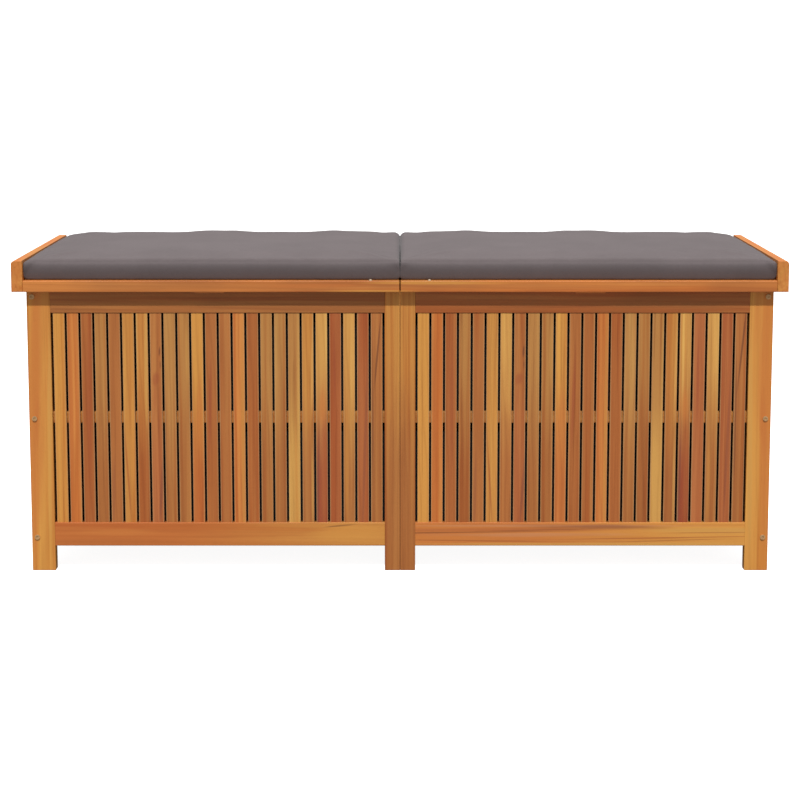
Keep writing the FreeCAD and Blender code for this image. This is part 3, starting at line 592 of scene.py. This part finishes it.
def dress_lids():
    """The boards of both lids."""
    rails = ["left_lid_front_rail", "right_lid_front_rail"]
    across = from_middle("z", solids("right_lid_front_rail"))
    wood = hardwood("lid_front_wood", "x", [("brown", "orange")], single(40), None, LID_RAIL_FIGURE, across,
                    strength=0.9)
    dress(rails, wood)
    wood = hardwood("lid_back_wood", "x", [("orange", "umber")], single(41))
    dress(["left_lid_back_rail", "right_lid_back_rail"], wood)
    slats = solids("right_lid_slats")
    wood = hardwood("lid_slat_wood", "x", SLAT_TONES, counted("y", slats, first=3))
    dress(["left_lid_slats", "right_lid_slats"], wood)
    wood = hardwood("batten_wood", "y", [("brown", "umber")], single(42))
    dress(["left_lid_battens", "right_lid_battens"], wood)
    dress(["left_arm", "right_arm"], hardwood("arm_wood", "y", [("orange", "amber")], single(43)))


# ---- metal and plastic -----------------------------------------------------------------------


def metal(name, colour, roughness, wear=0.15, metallic=1.0):
    graph = Graph(name)
    blotch = graph.noise(graph.position, scale=160.0, detail=4.0, roughness=0.6)
    scratch = graph.noise(graph.vector("MULTIPLY", graph.position, (90.0, 900.0, 900.0)), detail=2.0)
    graph.set(Base_Color=graph.tint(graph.smooth(blotch, 0.4, 0.75, 0.0, 0.8), colour, (0.55, 0.55, 0.55)))
    graph.shader.inputs["Metallic"].default_value = metallic
    graph.set(Roughness=graph.smooth(blotch, 0.2, 0.8, roughness - 0.08, roughness + 0.14))
    graph.set(Normal=graph.bump(scratch, wear, 0.05 * MM))
    return graph.material


def screws_and_caps():
    """Zinc screws. The domes that stand above the lid's front rail are cream plastic."""
    graph = Graph("screws_and_caps")
    height = graph.split(graph.position)[2]
    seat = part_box("right_lid_front_rail")[1].z
    cap = graph.math("GREATER_THAN", height, seat - 0.1 * MM)
    blotch = graph.noise(graph.position, scale=160.0, detail=4.0, roughness=0.6)
    zinc = graph.tint(graph.smooth(blotch, 0.4, 0.75, 0.0, 0.8), linear(190, 184, 170), (0.6, 0.6, 0.6))
    graph.set(Base_Color=graph.mix(cap, zinc, linear(168, 146, 118)))
    graph.set(Metallic=graph.math("SUBTRACT", 1.0, cap))
    graph.set(Roughness=graph.smooth(blotch, 0.2, 0.8, 0.34, 0.52))
    return graph.material


def dress_metal():
    zinc = metal("zinc_plate", linear(176, 172, 164), 0.34)
    dress([name for name in nodes if "hinge" in name or name.endswith("_stay") or "stay_" in name], zinc)
    bolt = metal("bolt_steel", linear(204, 162, 112), 0.42, metallic=0.45)
    dress(["corner_bolts", "corner_barrel_nuts", "centre_post_bolts"], bolt)
    dress(["left_lid_screws", "right_lid_screws"], screws_and_caps())


# ---- fabric ----------------------------------------------------------------------------------


def woven(name, colour, pitch, roughness=0.9, heather=0.12, sheen=0.25, strength=0.25):
    """A plain weave: over and under threads of the given pitch, slightly uneven."""
    graph = Graph(name)
    x, y, z = graph.split(graph.position)
    sway = graph.math("MULTIPLY", graph.noise(graph.position, scale=30.0, detail=2.0), 4 * MM)
    u = graph.math("ADD", graph.math("ADD", x, z), sway)
    v = graph.math("ADD", graph.math("SUBTRACT", y, z), sway)
    turn = 2 * math.pi / pitch
    warp = graph.math("SINE", graph.math("MULTIPLY", u, turn))
    weft = graph.math("SINE", graph.math("MULTIPLY", v, turn))
    threads = graph.math("MULTIPLY", warp, weft)
    mottle = graph.noise(graph.position, scale=700.0, detail=2.0, roughness=0.7)
    cloud = graph.noise(graph.position, scale=9.0, detail=4.0, roughness=0.6)
    dark = tuple(0.72 * channel for channel in colour[:3]) + (1.0,)
    light = tuple(1.22 * channel for channel in colour[:3]) + (1.0,)
    base = graph.mix(graph.smooth(mottle, 0.35, 0.65), dark, light)
    base = graph.mix(1.0 - heather * 2, base, colour)
    base = graph.mix(graph.smooth(cloud, 0.3, 0.7, 0.0, 0.35), base, dark)
    graph.set(Base_Color=base)
    graph.shader.inputs["Roughness"].default_value = roughness
    graph.shader.inputs["Specular IOR Level"].default_value = 0.18
    graph.shader.inputs["Sheen Weight"].default_value = sheen
    graph.shader.inputs["Sheen Roughness"].default_value = 0.5
    graph.set(Normal=graph.bump(threads, strength, 0.25 * MM, graph.bump(mottle, 0.15, 0.3 * MM)))
    return graph.material


def new_piece(name, vertices, faces, material, body):
    """A smooth-shaded mesh piece that rides on a body."""
    mesh = bpy.data.meshes.new(name)
    mesh.from_pydata(vertices, [], faces)
    mesh.polygons.foreach_set("use_smooth", [True] * len(faces))
    mesh.materials.append(material)
    piece = bpy.data.objects.new(name, mesh)
    bpy.context.scene.collection.objects.link(piece)
    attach(piece, body)
    return piece


# ---- rounded boxes of small cells, for the cushions and the liner ----------------------------


def cell_box(counts, open_top=False):
    """A box of square cells: the whole-number corner of each vertex, and the faces, which look outwards."""
    corners = {}
    faces = []

    def add(*corner):
        return corners.setdefault(corner, len(corners))

    for axis in range(3):
        first, second = (axis + 1) % 3, (axis + 2) % 3
        for end in (0, counts[axis]):
            if open_top and axis == 2 and end:
                continue
            for i in range(counts[first]):
                for j in range(counts[second]):
                    face = []
                    for di, dj in ((0, 0), (1, 0), (1, 1), (0, 1)):
                        corner = [end] * 3
                        corner[first] = i + di
                        corner[second] = j + dj
                        face.append(add(*corner))
                    faces.append(face if end else face[::-1])
    return list(corners), faces


def crowded(share):
    """A place from 0 to 1 that moves the cells of a row closer together at both ends."""
    return share - 0.55 * math.sin(2 * math.pi * share) / (2 * math.pi)


def rounded(corner, counts, low, high, radius, base):
    """The place of a cell corner on a box with rounded edges: a radius for each axis and one at the base."""
    shares = (crowded(corner[0] / counts[0]), crowded(corner[1] / counts[1]), corner[2] / counts[2])
    if corner[2] < counts[2] / 2:
        radius = (*radius[:2], base)
    point = Vector(near + (far - near) * share for near, far, share in zip(low, high, shares))
    core = Vector(min(max(place, near + bend), far - bend)
                  for place, near, far, bend in zip(point, low, high, radius))
    away = Vector((place - inner) / bend for place, inner, bend in zip(point, core, radius))
    if away.length > 0:
        away.normalize()
    return core + Vector(part * bend for part, bend in zip(away, radius))


# ---- cushions --------------------------------------------------------------------------------

CUSHION_CELL = 8 * MM
CORNER_ROUND = 6 * MM
EDGE_ROUND = 10 * MM
SIDE_ROLL = 7 * MM
INNER_ROLL = 6 * MM
INNER_ROUND = 2.5 * MM
FRONT_ROLL = 22 * MM
ROLL_REACH = 20 * MM
BASE_ROUND = 4 * MM
FRONT_ROOM = 1.5 * MM
TOP_ROOM = 3.5 * MM
BASE_LEAN = 6 * MM
SIDE_PUSH = 10 * MM
FRONT_PUSH = 3.5 * MM
PUSH_REACH = 15 * MM
HALF_GAP = 0.02 * MM
INNER_FILL = 0.9
CREASE_FOOT = 0.3
CREASE_OPEN = 1.9 * MM
CREASE_FADE = 1.35
SWELL_CAP = 5 * MM
CROWN = 7 * MM
# how fast the crown rises from the inner, outer, front and back edge
CROWN_REACH = (2 * MM, 18 * MM, 60 * MM, 14 * MM)
RIPPLE = 0.7
SEAM_DEPTH = 0.7 * MM
SEAM_WIDTH = 2.6 * MM
PUCKER_DEPTH = 1.1 * MM
PUCKER_REACH = 26 * MM
PUCKER_START = 4 * MM
SEAM_MARKS = ("from_seam", "seam_x", "seam_y")
# rises of the foam along the back edge: distance from the middle of the box, width and height (mm)
HUMPS = ((12, 26, 2.4), (138, 44, 3.9), (355, 32, 3.4), (414, 32, 3.6))


def inflate(piece, pinned):
    """Puff the fabric with a short cloth run. It gives each vertex's place at the end."""
    piece.vertex_groups.new(name="pinned").add(pinned, 1.0, "REPLACE")
    cloth = piece.modifiers.new("Cloth", "CLOTH")
    settings = cloth.settings
    settings.quality = 6
    settings.mass = 0.3
    settings.tension_stiffness = 18.0
    settings.compression_stiffness = 10.0
    settings.shear_stiffness = 6.0
    settings.bending_stiffness = 0.6
    settings.use_pressure = True
    settings.uniform_pressure_force = 4.0
    settings.effector_weights.gravity = 0.0
    settings.vertex_group_mass = "pinned"
    cloth.collision_settings.use_collision = False
    cloth.point_cache.frame_start = 1
    cloth.point_cache.frame_end = 20
    for step in range(1, 21):
        bpy.context.scene.frame_set(step)
    run = piece.evaluated_get(bpy.context.evaluated_depsgraph_get())
    places = [vertex.co.copy() for vertex in run.data.vertices]
    piece.modifiers.remove(cloth)
    bpy.context.scene.frame_set(1)
    return places


def foam_swell(x, y, low, high):
    """How far the foam lifts the top of the cover: a crown over the seat and a few rises along the back."""
    crown = 1.0
    for gap, reach in zip((x - low.x, high.x - x, y - low.y, high.y - y), CROWN_REACH):
        crown *= 1 - math.exp(-max(0.0, gap) / reach)
    deep = (y - low.y) / (high.y - low.y)
    lift = sum(height * math.exp(-(((x / MM - middle) / width) ** 2)) for middle, width, height in HUMPS)
    ripple = RIPPLE * noise.noise(Vector((x * 14.0, y * 7.0, 9.0)))
    return CROWN * crown + (lift * deep + ripple * (0.3 + 0.7 * deep)) * MM


def pushed_out(place, share, low, high):
    """The bulge of the sides, where the foam fills the cover. The inner side bulges up to its top edge."""
    bulge = math.sin(math.pi * share) ** 0.4 if 0 < share < 1 else 0.0
    inner = max(bulge, INNER_FILL) if share > 0.5 else bulge
    across = [math.exp(-max(0.0, gap) / PUSH_REACH) for gap in (place.x - low.x, high.x - place.x)]
    along = [math.exp(-max(0.0, gap) / PUSH_REACH) for gap in (place.y - low.y, high.y - place.y)]
    sideways = across[1] * bulge - across[0] * inner
    return Vector((SIDE_PUSH * sideways, FRONT_PUSH * (along[1] - along[0]) * bulge, 0))


def seam_place(corner, counts, place, low, high):
    """How far a cell corner is from the top seam, and the nearest point of the seam."""
    if corner[2] < counts[2]:
        return high.z - place.z, place.x, place.y
    gaps = (place.x - low.x, high.x - place.x, place.y - low.y, high.y - place.y)
    nearest = gaps.index(min(gaps))
    seam = [place.x, place.y]
    seam[nearest // 2] = (low, high)[nearest % 2][nearest // 2]
    return max(0.0, gaps[nearest]), *seam


def cushion_form():
    """The right cushion without its swell: places, faces, heights from 0 to 1 and the marks of the seam."""
    low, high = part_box("right_cushion")
    low = low + Vector((0, FRONT_ROOM, 0))
    high = high - Vector((0, FRONT_ROOM, TOP_ROOM))
    counts = tuple(max(7, round(length / CUSHION_CELL)) for length in high - low)
    corners, faces = cell_box(counts)
    rest = []
    for corner in corners:
        inwards = Vector((0, BASE_LEAN * (1 - corner[2] / counts[2]) ** 2, 0))
        gap = crowded(min(corner[0], counts[0] - corner[0]) / counts[0]) * (high.x - low.x)
        inner = 2 * corner[0] < counts[0]
        side, across = (INNER_ROLL, INNER_ROUND) if inner else (SIDE_ROLL, CORNER_ROUND)
        roll = FRONT_ROLL + (side - FRONT_ROLL) * math.exp(-gap / ROLL_REACH)
        radius = (across, EDGE_ROUND, roll)
        rest.append(rounded(corner, counts, low + inwards, high - inwards, radius, BASE_ROUND))
    pinned = [number for number, corner in enumerate(corners) if corner[2] == 0]
    places = rest
    form = new_piece("cushion_form", rest, faces, cushion_cloth, "right_lid")
    places = inflate(form, pinned)
    bpy.data.objects.remove(form)
    puffed = []
    for start, end in zip(rest, places):
        move = end - start
        if move.length > 0:
            move *= SWELL_CAP * math.tanh(move.length / SWELL_CAP) / move.length
        puffed.append(start + move)
    shares = [corner[2] / counts[2] for corner in corners]
    puffed = [place + pushed_out(place, share, low, high) for place, share in zip(puffed, shares)]
    marks = [seam_place(corner, counts, place, low, high) for corner, place in zip(corners, rest)]
    return puffed, faces, shares, marks


def subdivided(piece):
    """The piece's mesh after one subdivision, with its attributes."""
    modifier = piece.modifiers.new("Subdivide", "SUBSURF")
    modifier.levels = 1
    graph = bpy.context.evaluated_depsgraph_get()
    mesh = bpy.data.meshes.new_from_object(piece.evaluated_get(graph))
    piece.modifiers.remove(modifier)
    return mesh


def sew(mesh):
    """Pull in the seam along the top edge and pucker the cover beside it."""
    marks = [[item.value for item in mesh.attributes[name].data] for name in SEAM_MARKS]
    moves = []
    for vertex, gap, x, y in zip(mesh.vertices, *marks):
        groove = SEAM_DEPTH * math.exp(-((gap / SEAM_WIDTH) ** 2))
        broad = noise.noise(Vector((x * 42.0, y * 42.0, 1.0)))
        fold = broad + 0.6 * noise.noise(Vector((x * 95.0, y * 95.0, 7.0)))
        beside = math.exp(-gap / PUCKER_REACH) * (1 - math.exp(-gap / PUCKER_START))
        moves.append(vertex.normal * (PUCKER_DEPTH * fold * beside - groove))
    for vertex, move in zip(mesh.vertices, moves):
        vertex.co += move


def press(mesh, sign, low, high):
    """Flatten a cushion where it meets the other cushion, the arm and the lid boards.

    The two cushions meet low down and at the back. A crease opens between them to the top and the front.
    """
    for vertex in mesh.vertices:
        height = (vertex.co.z - low.z) / (high.z - low.z)
        raised = min(1.0, max(0.0, height - CREASE_FOOT) / (1 - CREASE_FOOT))
        forward = max(0.0, 1 - CREASE_FADE * (vertex.co.y - low.y) / (high.y - low.y))
        inner = low.x + CREASE_OPEN * raised * forward
        vertex.co.x = sign * min(max(sign * vertex.co.x, inner), high.x)
        vertex.co.z = max(vertex.co.z, low.z)


def add_cushions():
    """Both cushions from one form, mirrored, and kept clear of the arms and of each other."""
    low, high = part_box("right_cushion")
    inner = Vector((HALF_GAP, low.y, low.z))
    outer = Vector((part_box("right_arm")[0].x - HALF_GAP, high.y, high.z))
    puffed, faces, shares, marks = cushion_form()
    for side, sign in (("right", 1), ("left", -1)):
        places = []
        for place, share in zip(puffed, shares):
            z = place.z + share * foam_swell(place.x, place.y, low, high)
            places.append((sign * place.x, place.y, z))
        turned = faces if sign > 0 else [face[::-1] for face in faces]
        piece = new_piece(f"{side}_seat_cushion", places, turned, cushion_cloth, f"{side}_lid")
        for column, name in enumerate(SEAM_MARKS):
            attribute = piece.data.attributes.new(name, "FLOAT", "POINT")
            attribute.data.foreach_set("value", [mark[column] for mark in marks])
        mesh = subdivided(piece)
        sew(mesh)
        press(mesh, sign, inner, outer)
        mesh.name = piece.name
        piece.data = mesh
        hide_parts(f"{side}_cushion")


# ---- webbing straps --------------------------------------------------------------------------

STRAP_BEND = 3 * MM
STRAP_THICK = 1.5 * MM
BEND_STEPS = 5


def strap_path(low, high, half):
    """The middle line of a strap under a lid slat, in Y and Z, with the way its outer face looks."""
    path = [((low.y + half, high.z), (-1, 0))]
    for y, turn in ((low.y + half + STRAP_BEND, 180), (high.y - half - STRAP_BEND, 270)):
        for step in range(BEND_STEPS + 1):
            angle = math.radians(turn + 90 * step / BEND_STEPS)
            out = (math.cos(angle), math.sin(angle))
            centre = (y, low.z + half + STRAP_BEND)
            path.append((tuple(c + STRAP_BEND * o for c, o in zip(centre, out)), out))
    return path + [((high.y - half, high.z), (1, 0))]


def add_straps():
    """Flat webbing with soft edges, sewn to the underside of each cushion and passed under two slats."""
    half = STRAP_THICK / 2
    for side in ("left", "right"):
        vertices = []
        faces = []
        for low, high in solids(f"{side}_cushion_straps"):
            middle = (low.x + high.x) / 2
            wide = (high.x - low.x) / 2
            flat = wide - half
            section = [(-wide, 0), (-flat, half), (flat, half), (wide, 0), (flat, -half), (-flat, -half)]
            first = len(vertices)
            path = strap_path(low, high, half)
            for (y, z), out in path:
                for across, outward in section:
                    vertices.append((middle + across, y + out[0] * outward, z + out[1] * outward))
            count = len(section)
            for ring in range(len(path) - 1):
                for number in range(count):
                    following = (number + 1) % count
                    base = first + ring * count
                    after = base + count
                    faces.append((base + number, after + number, after + following, base + following))
            faces.append([first + number for number in range(count)])
            faces.append([len(vertices) - 1 - number for number in range(count)])
        piece = new_piece(f"{side}_webbing_straps", vertices, faces, webbing, f"{side}_lid")
        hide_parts(f"{side}_cushion_straps")


# ---- liner bag -------------------------------------------------------------------------------

LINER_CELL = 16 * MM
LINER_ROUND = 12 * MM
LINER_SAG = 6 * MM
LINER_CREASE = 1.2 * MM
LINER_CORNER = 120 * MM
LINER_THICK = 0.8 * MM
HEM_DEEP = 20 * MM
HEM_THICK = 2.2 * MM
# the hem's outline: its steps, the steps that the two lines of stitching press in, and how deep
HEM_STEPS = 12
HEM_STITCHES = (3, 9)
STITCH_DEPTH = 0.5 * MM


def liner_inset(x, y, share, low, high):
    """How far the liner's wall hangs inwards: most in the middle of a wall, least at its edges."""
    across = math.sin(math.pi * (x - low.x) / (high.x - low.x))
    along = math.sin(math.pi * (y - low.y) / (high.y - low.y))
    edges = min(x - low.x, high.x - x) + min(y - low.y, high.y - y)
    spread = min(1.0, edges / LINER_CORNER) if across * along < 0.02 else 1.0
    slack = noise.noise(Vector((x * 7.0, y * 7.0, share * 2.2))) * 0.5 + 0.5
    crease = noise.noise(Vector((x * 28.0 + share * 5.0, y * 28.0, share * 3.0)))
    drop = math.sin(math.pi * min(1.0, share * 1.04)) ** 0.7
    return max(0.0, LINER_SAG * spread * drop * (0.25 + 0.75 * slack) + LINER_CREASE * crease * drop)


def add_liner():
    """An open fabric bag inside the box, with soft folds in its walls and a stitched hem round its mouth."""
    low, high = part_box("liner")
    size = high - low
    counts = tuple(round(length / LINER_CELL) for length in size)
    corners, faces = cell_box(counts, open_top=True)
    vertices = []
    for corner in corners:
        top = high + Vector((0, 0, LINER_ROUND))
        place = rounded(corner, counts, low, top, (LINER_ROUND, LINER_ROUND, LINER_ROUND), LINER_ROUND)
        place.z = low.z + (place.z - low.z) * size.z / (size.z + LINER_ROUND)
        inset = liner_inset(place.x, place.y, corner[2] / counts[2], low, high)
        middle = Vector(((low.x + high.x) / 2, (low.y + high.y) / 2))
        reach = (abs(place.x - middle.x) - size.x / 2, abs(place.y - middle.y) - size.y / 2)
        if corner[2] and reach[0] > -LINER_ROUND:
            place.x -= math.copysign(inset, place.x - middle.x)
        if corner[2] and reach[1] > -LINER_ROUND:
            place.y -= math.copysign(inset, place.y - middle.y)
        vertices.append(place)
    piece = new_piece("liner_bag", vertices, faces, liner_cloth, "box")
    thick = piece.modifiers.new("Thickness", "SOLIDIFY")
    thick.thickness = LINER_THICK
    thick.offset = -1.0
    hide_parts("liner")
    hem = add_hem(low, high)


def add_hem(low, high):
    """The folded band round the mouth of the liner, with two lines of stitching pressed into it."""
    profile = []
    for number in range(HEM_STEPS + 1):
        share = number / HEM_STEPS
        pressed = STITCH_DEPTH if number in HEM_STITCHES else 0.0
        bulge = HEM_THICK * (1 - (2 * share - 1) ** 6) - pressed
        profile.append((bulge, high.z - HEM_DEEP * share))
    profile += [(LINER_THICK * 0.2, high.z - HEM_DEEP), (LINER_THICK * 0.2, high.z)]
    ring = []
    run = [(low.x, low.y), (high.x, low.y), (high.x, high.y), (low.x, high.y)]
    middle = (low.y + high.y) / 2
    for number, (x, y) in enumerate(run):
        turn = 180 + 90 * number
        centre = (x + math.copysign(LINER_ROUND, -x), y + math.copysign(LINER_ROUND, middle - y))
        for step in range(BEND_STEPS + 1):
            angle = math.radians(turn + 90 * step / BEND_STEPS)
            ring.append((centre, (math.cos(angle), math.sin(angle))))
    vertices = [(c[0] + o[0] * (LINER_ROUND - depth), c[1] + o[1] * (LINER_ROUND - depth), z)
                for c, o in ring for depth, z in profile]
    count = len(profile)
    total = len(vertices)
    faces = []
    for base in range(0, total, count):
        for number in range(count):
            following = (number + 1) % count
            after = (base + count) % total
            faces.append((base + number, base + following, after + following, after + number))
    return new_piece("liner_hem", vertices, faces, liner_cloth, "box")


# ---- stage: floor, light and camera ----------------------------------------------------------

FLOOR_GLOW = 0.93
FLOOR_BOUNCE = (0.34, 0.34, 0.34, 1.0)
FLOOR_TONES = ((0.66, 0.66, 0.66, 1.0), (0.70, 0.70, 0.70, 1.0))
SKY_LIGHT = 0.42
SKY_SEEN = 1.2
CAMERA_BACK = 3.65
CAMERA_HEIGHT = 1.037
CAMERA_DOWN = 7.11
CAMERA_LENS = 85.9
CAMERA_SHIFT = -0.15


def add_floor():
    mesh = bpy.data.meshes.new("floor")
    half = 14.0
    corners = [(-half, -half, 0), (half, -half, 0), (half, half, 0), (-half, half, 0)]
    mesh.from_pydata(corners, [], [(0, 1, 2, 3)])
    floor = bpy.data.objects.new("floor", mesh)
    bpy.context.scene.collection.objects.link(floor)
    graph = Graph("floor_paint")
    tree = graph.tree
    path = tree.nodes.new("ShaderNodeLightPath")
    bright = tree.nodes.new("ShaderNodeEmission")
    bright.inputs["Strength"].default_value = FLOOR_GLOW
    total = tree.nodes.new("ShaderNodeAddShader")
    mixed = tree.nodes.new("ShaderNodeMixShader")
    plain = tree.nodes.new("ShaderNodeBsdfDiffuse")
    plain.inputs["Color"].default_value = FLOOR_BOUNCE
    seen = tree.nodes.new("ShaderNodeBsdfDiffuse")
    speck = graph.noise(graph.position, scale=3.0, detail=2.0)
    tree.links.new(graph.mix(speck, *FLOOR_TONES), seen.inputs["Color"])
    tree.links.new(bright.outputs[0], total.inputs[0])
    tree.links.new(seen.outputs[0], total.inputs[1])
    tree.links.new(path.outputs["Is Camera Ray"], mixed.inputs[0])
    tree.links.new(plain.outputs[0], mixed.inputs[1])
    tree.links.new(total.outputs[0], mixed.inputs[2])
    output = next(node for node in tree.nodes if node.type == "OUTPUT_MATERIAL")
    tree.links.new(mixed.outputs[0], output.inputs[0])
    tree.nodes.remove(graph.shader)
    mesh.materials.append(graph.material)


def add_sky():
    world = bpy.data.worlds.new("studio")
    world.use_nodes = True
    tree = world.node_tree
    background = tree.nodes["Background"]
    background.inputs["Color"].default_value = (1.0, 1.0, 1.0, 1.0)
    path = tree.nodes.new("ShaderNodeLightPath")
    choose = tree.nodes.new("ShaderNodeMapRange")
    choose.inputs["To Min"].default_value = SKY_LIGHT
    choose.inputs["To Max"].default_value = SKY_SEEN
    tree.links.new(path.outputs["Is Camera Ray"], choose.inputs["Value"])
    tree.links.new(choose.outputs[0], background.inputs["Strength"])
    bpy.context.scene.world = world


def add_sun(name, elevation, azimuth, strength, spread):
    """A distant lamp. Azimuth 0 shines from the front, positive from the right."""
    lamp = bpy.data.lights.new(name, "SUN")
    lamp.energy = strength
    lamp.angle = math.radians(spread)
    holder = bpy.data.objects.new(name, lamp)
    bpy.context.scene.collection.objects.link(holder)
    up, round_about = math.radians(elevation), math.radians(azimuth)
    level = math.cos(up)
    source = Vector((math.sin(round_about) * level, -math.cos(round_about) * level, math.sin(up)))
    holder.rotation_euler = source.to_track_quat("Z", "Y").to_euler()


def add_panel(name, place, size, strength):
    """A soft rectangular lamp that points straight down."""
    lamp = bpy.data.lights.new(name, "AREA")
    lamp.shape = "RECTANGLE"
    lamp.size, lamp.size_y = size
    lamp.energy = strength
    holder = bpy.data.objects.new(name, lamp)
    holder.location = place
    bpy.context.scene.collection.objects.link(holder)


def add_camera():
    """A camera in front of the middle, tilted slightly down, with a little lens shift."""
    lens = bpy.data.cameras.new("camera")
    lens.sensor_width = 36.0
    lens.lens = CAMERA_LENS
    lens.shift_y = CAMERA_SHIFT
    camera = bpy.data.objects.new("camera", lens)
    camera.location = (0.0, cad_bounds[0].y - CAMERA_BACK, CAMERA_HEIGHT)
    camera.rotation_euler = (math.radians(90 - CAMERA_DOWN), 0.0, 0.0)
    bpy.context.scene.collection.objects.link(camera)
    bpy.context.scene.camera = camera


cushion_cloth = woven("cushion_cloth", (0.123, 0.1015, 0.103, 1.0), 1.3 * MM, sheen=0.1)
liner_cloth = woven("liner_cloth", (0.006, 0.006, 0.0065, 1.0), 1.6 * MM, roughness=0.7, sheen=0.0)
webbing = woven("webbing_cloth", (0.020, 0.019, 0.020, 1.0), 2.0 * MM, roughness=0.8, sheen=0.1, strength=0.5)

dress_slats()
dress_uprights()
dress_rails()
dress_inside()
dress_lids()
dress_metal()
add_cushions()
add_straps()
add_liner()
add_floor()
add_sky()
add_sun("key", 52, 0, 2.9, 2.5)
add_panel("overhead", (0.0, 0.3, 3.2), (3.4, 2.2), 60.0)
add_camera()
bpy.context.scene.view_settings.view_transform = "Standard"
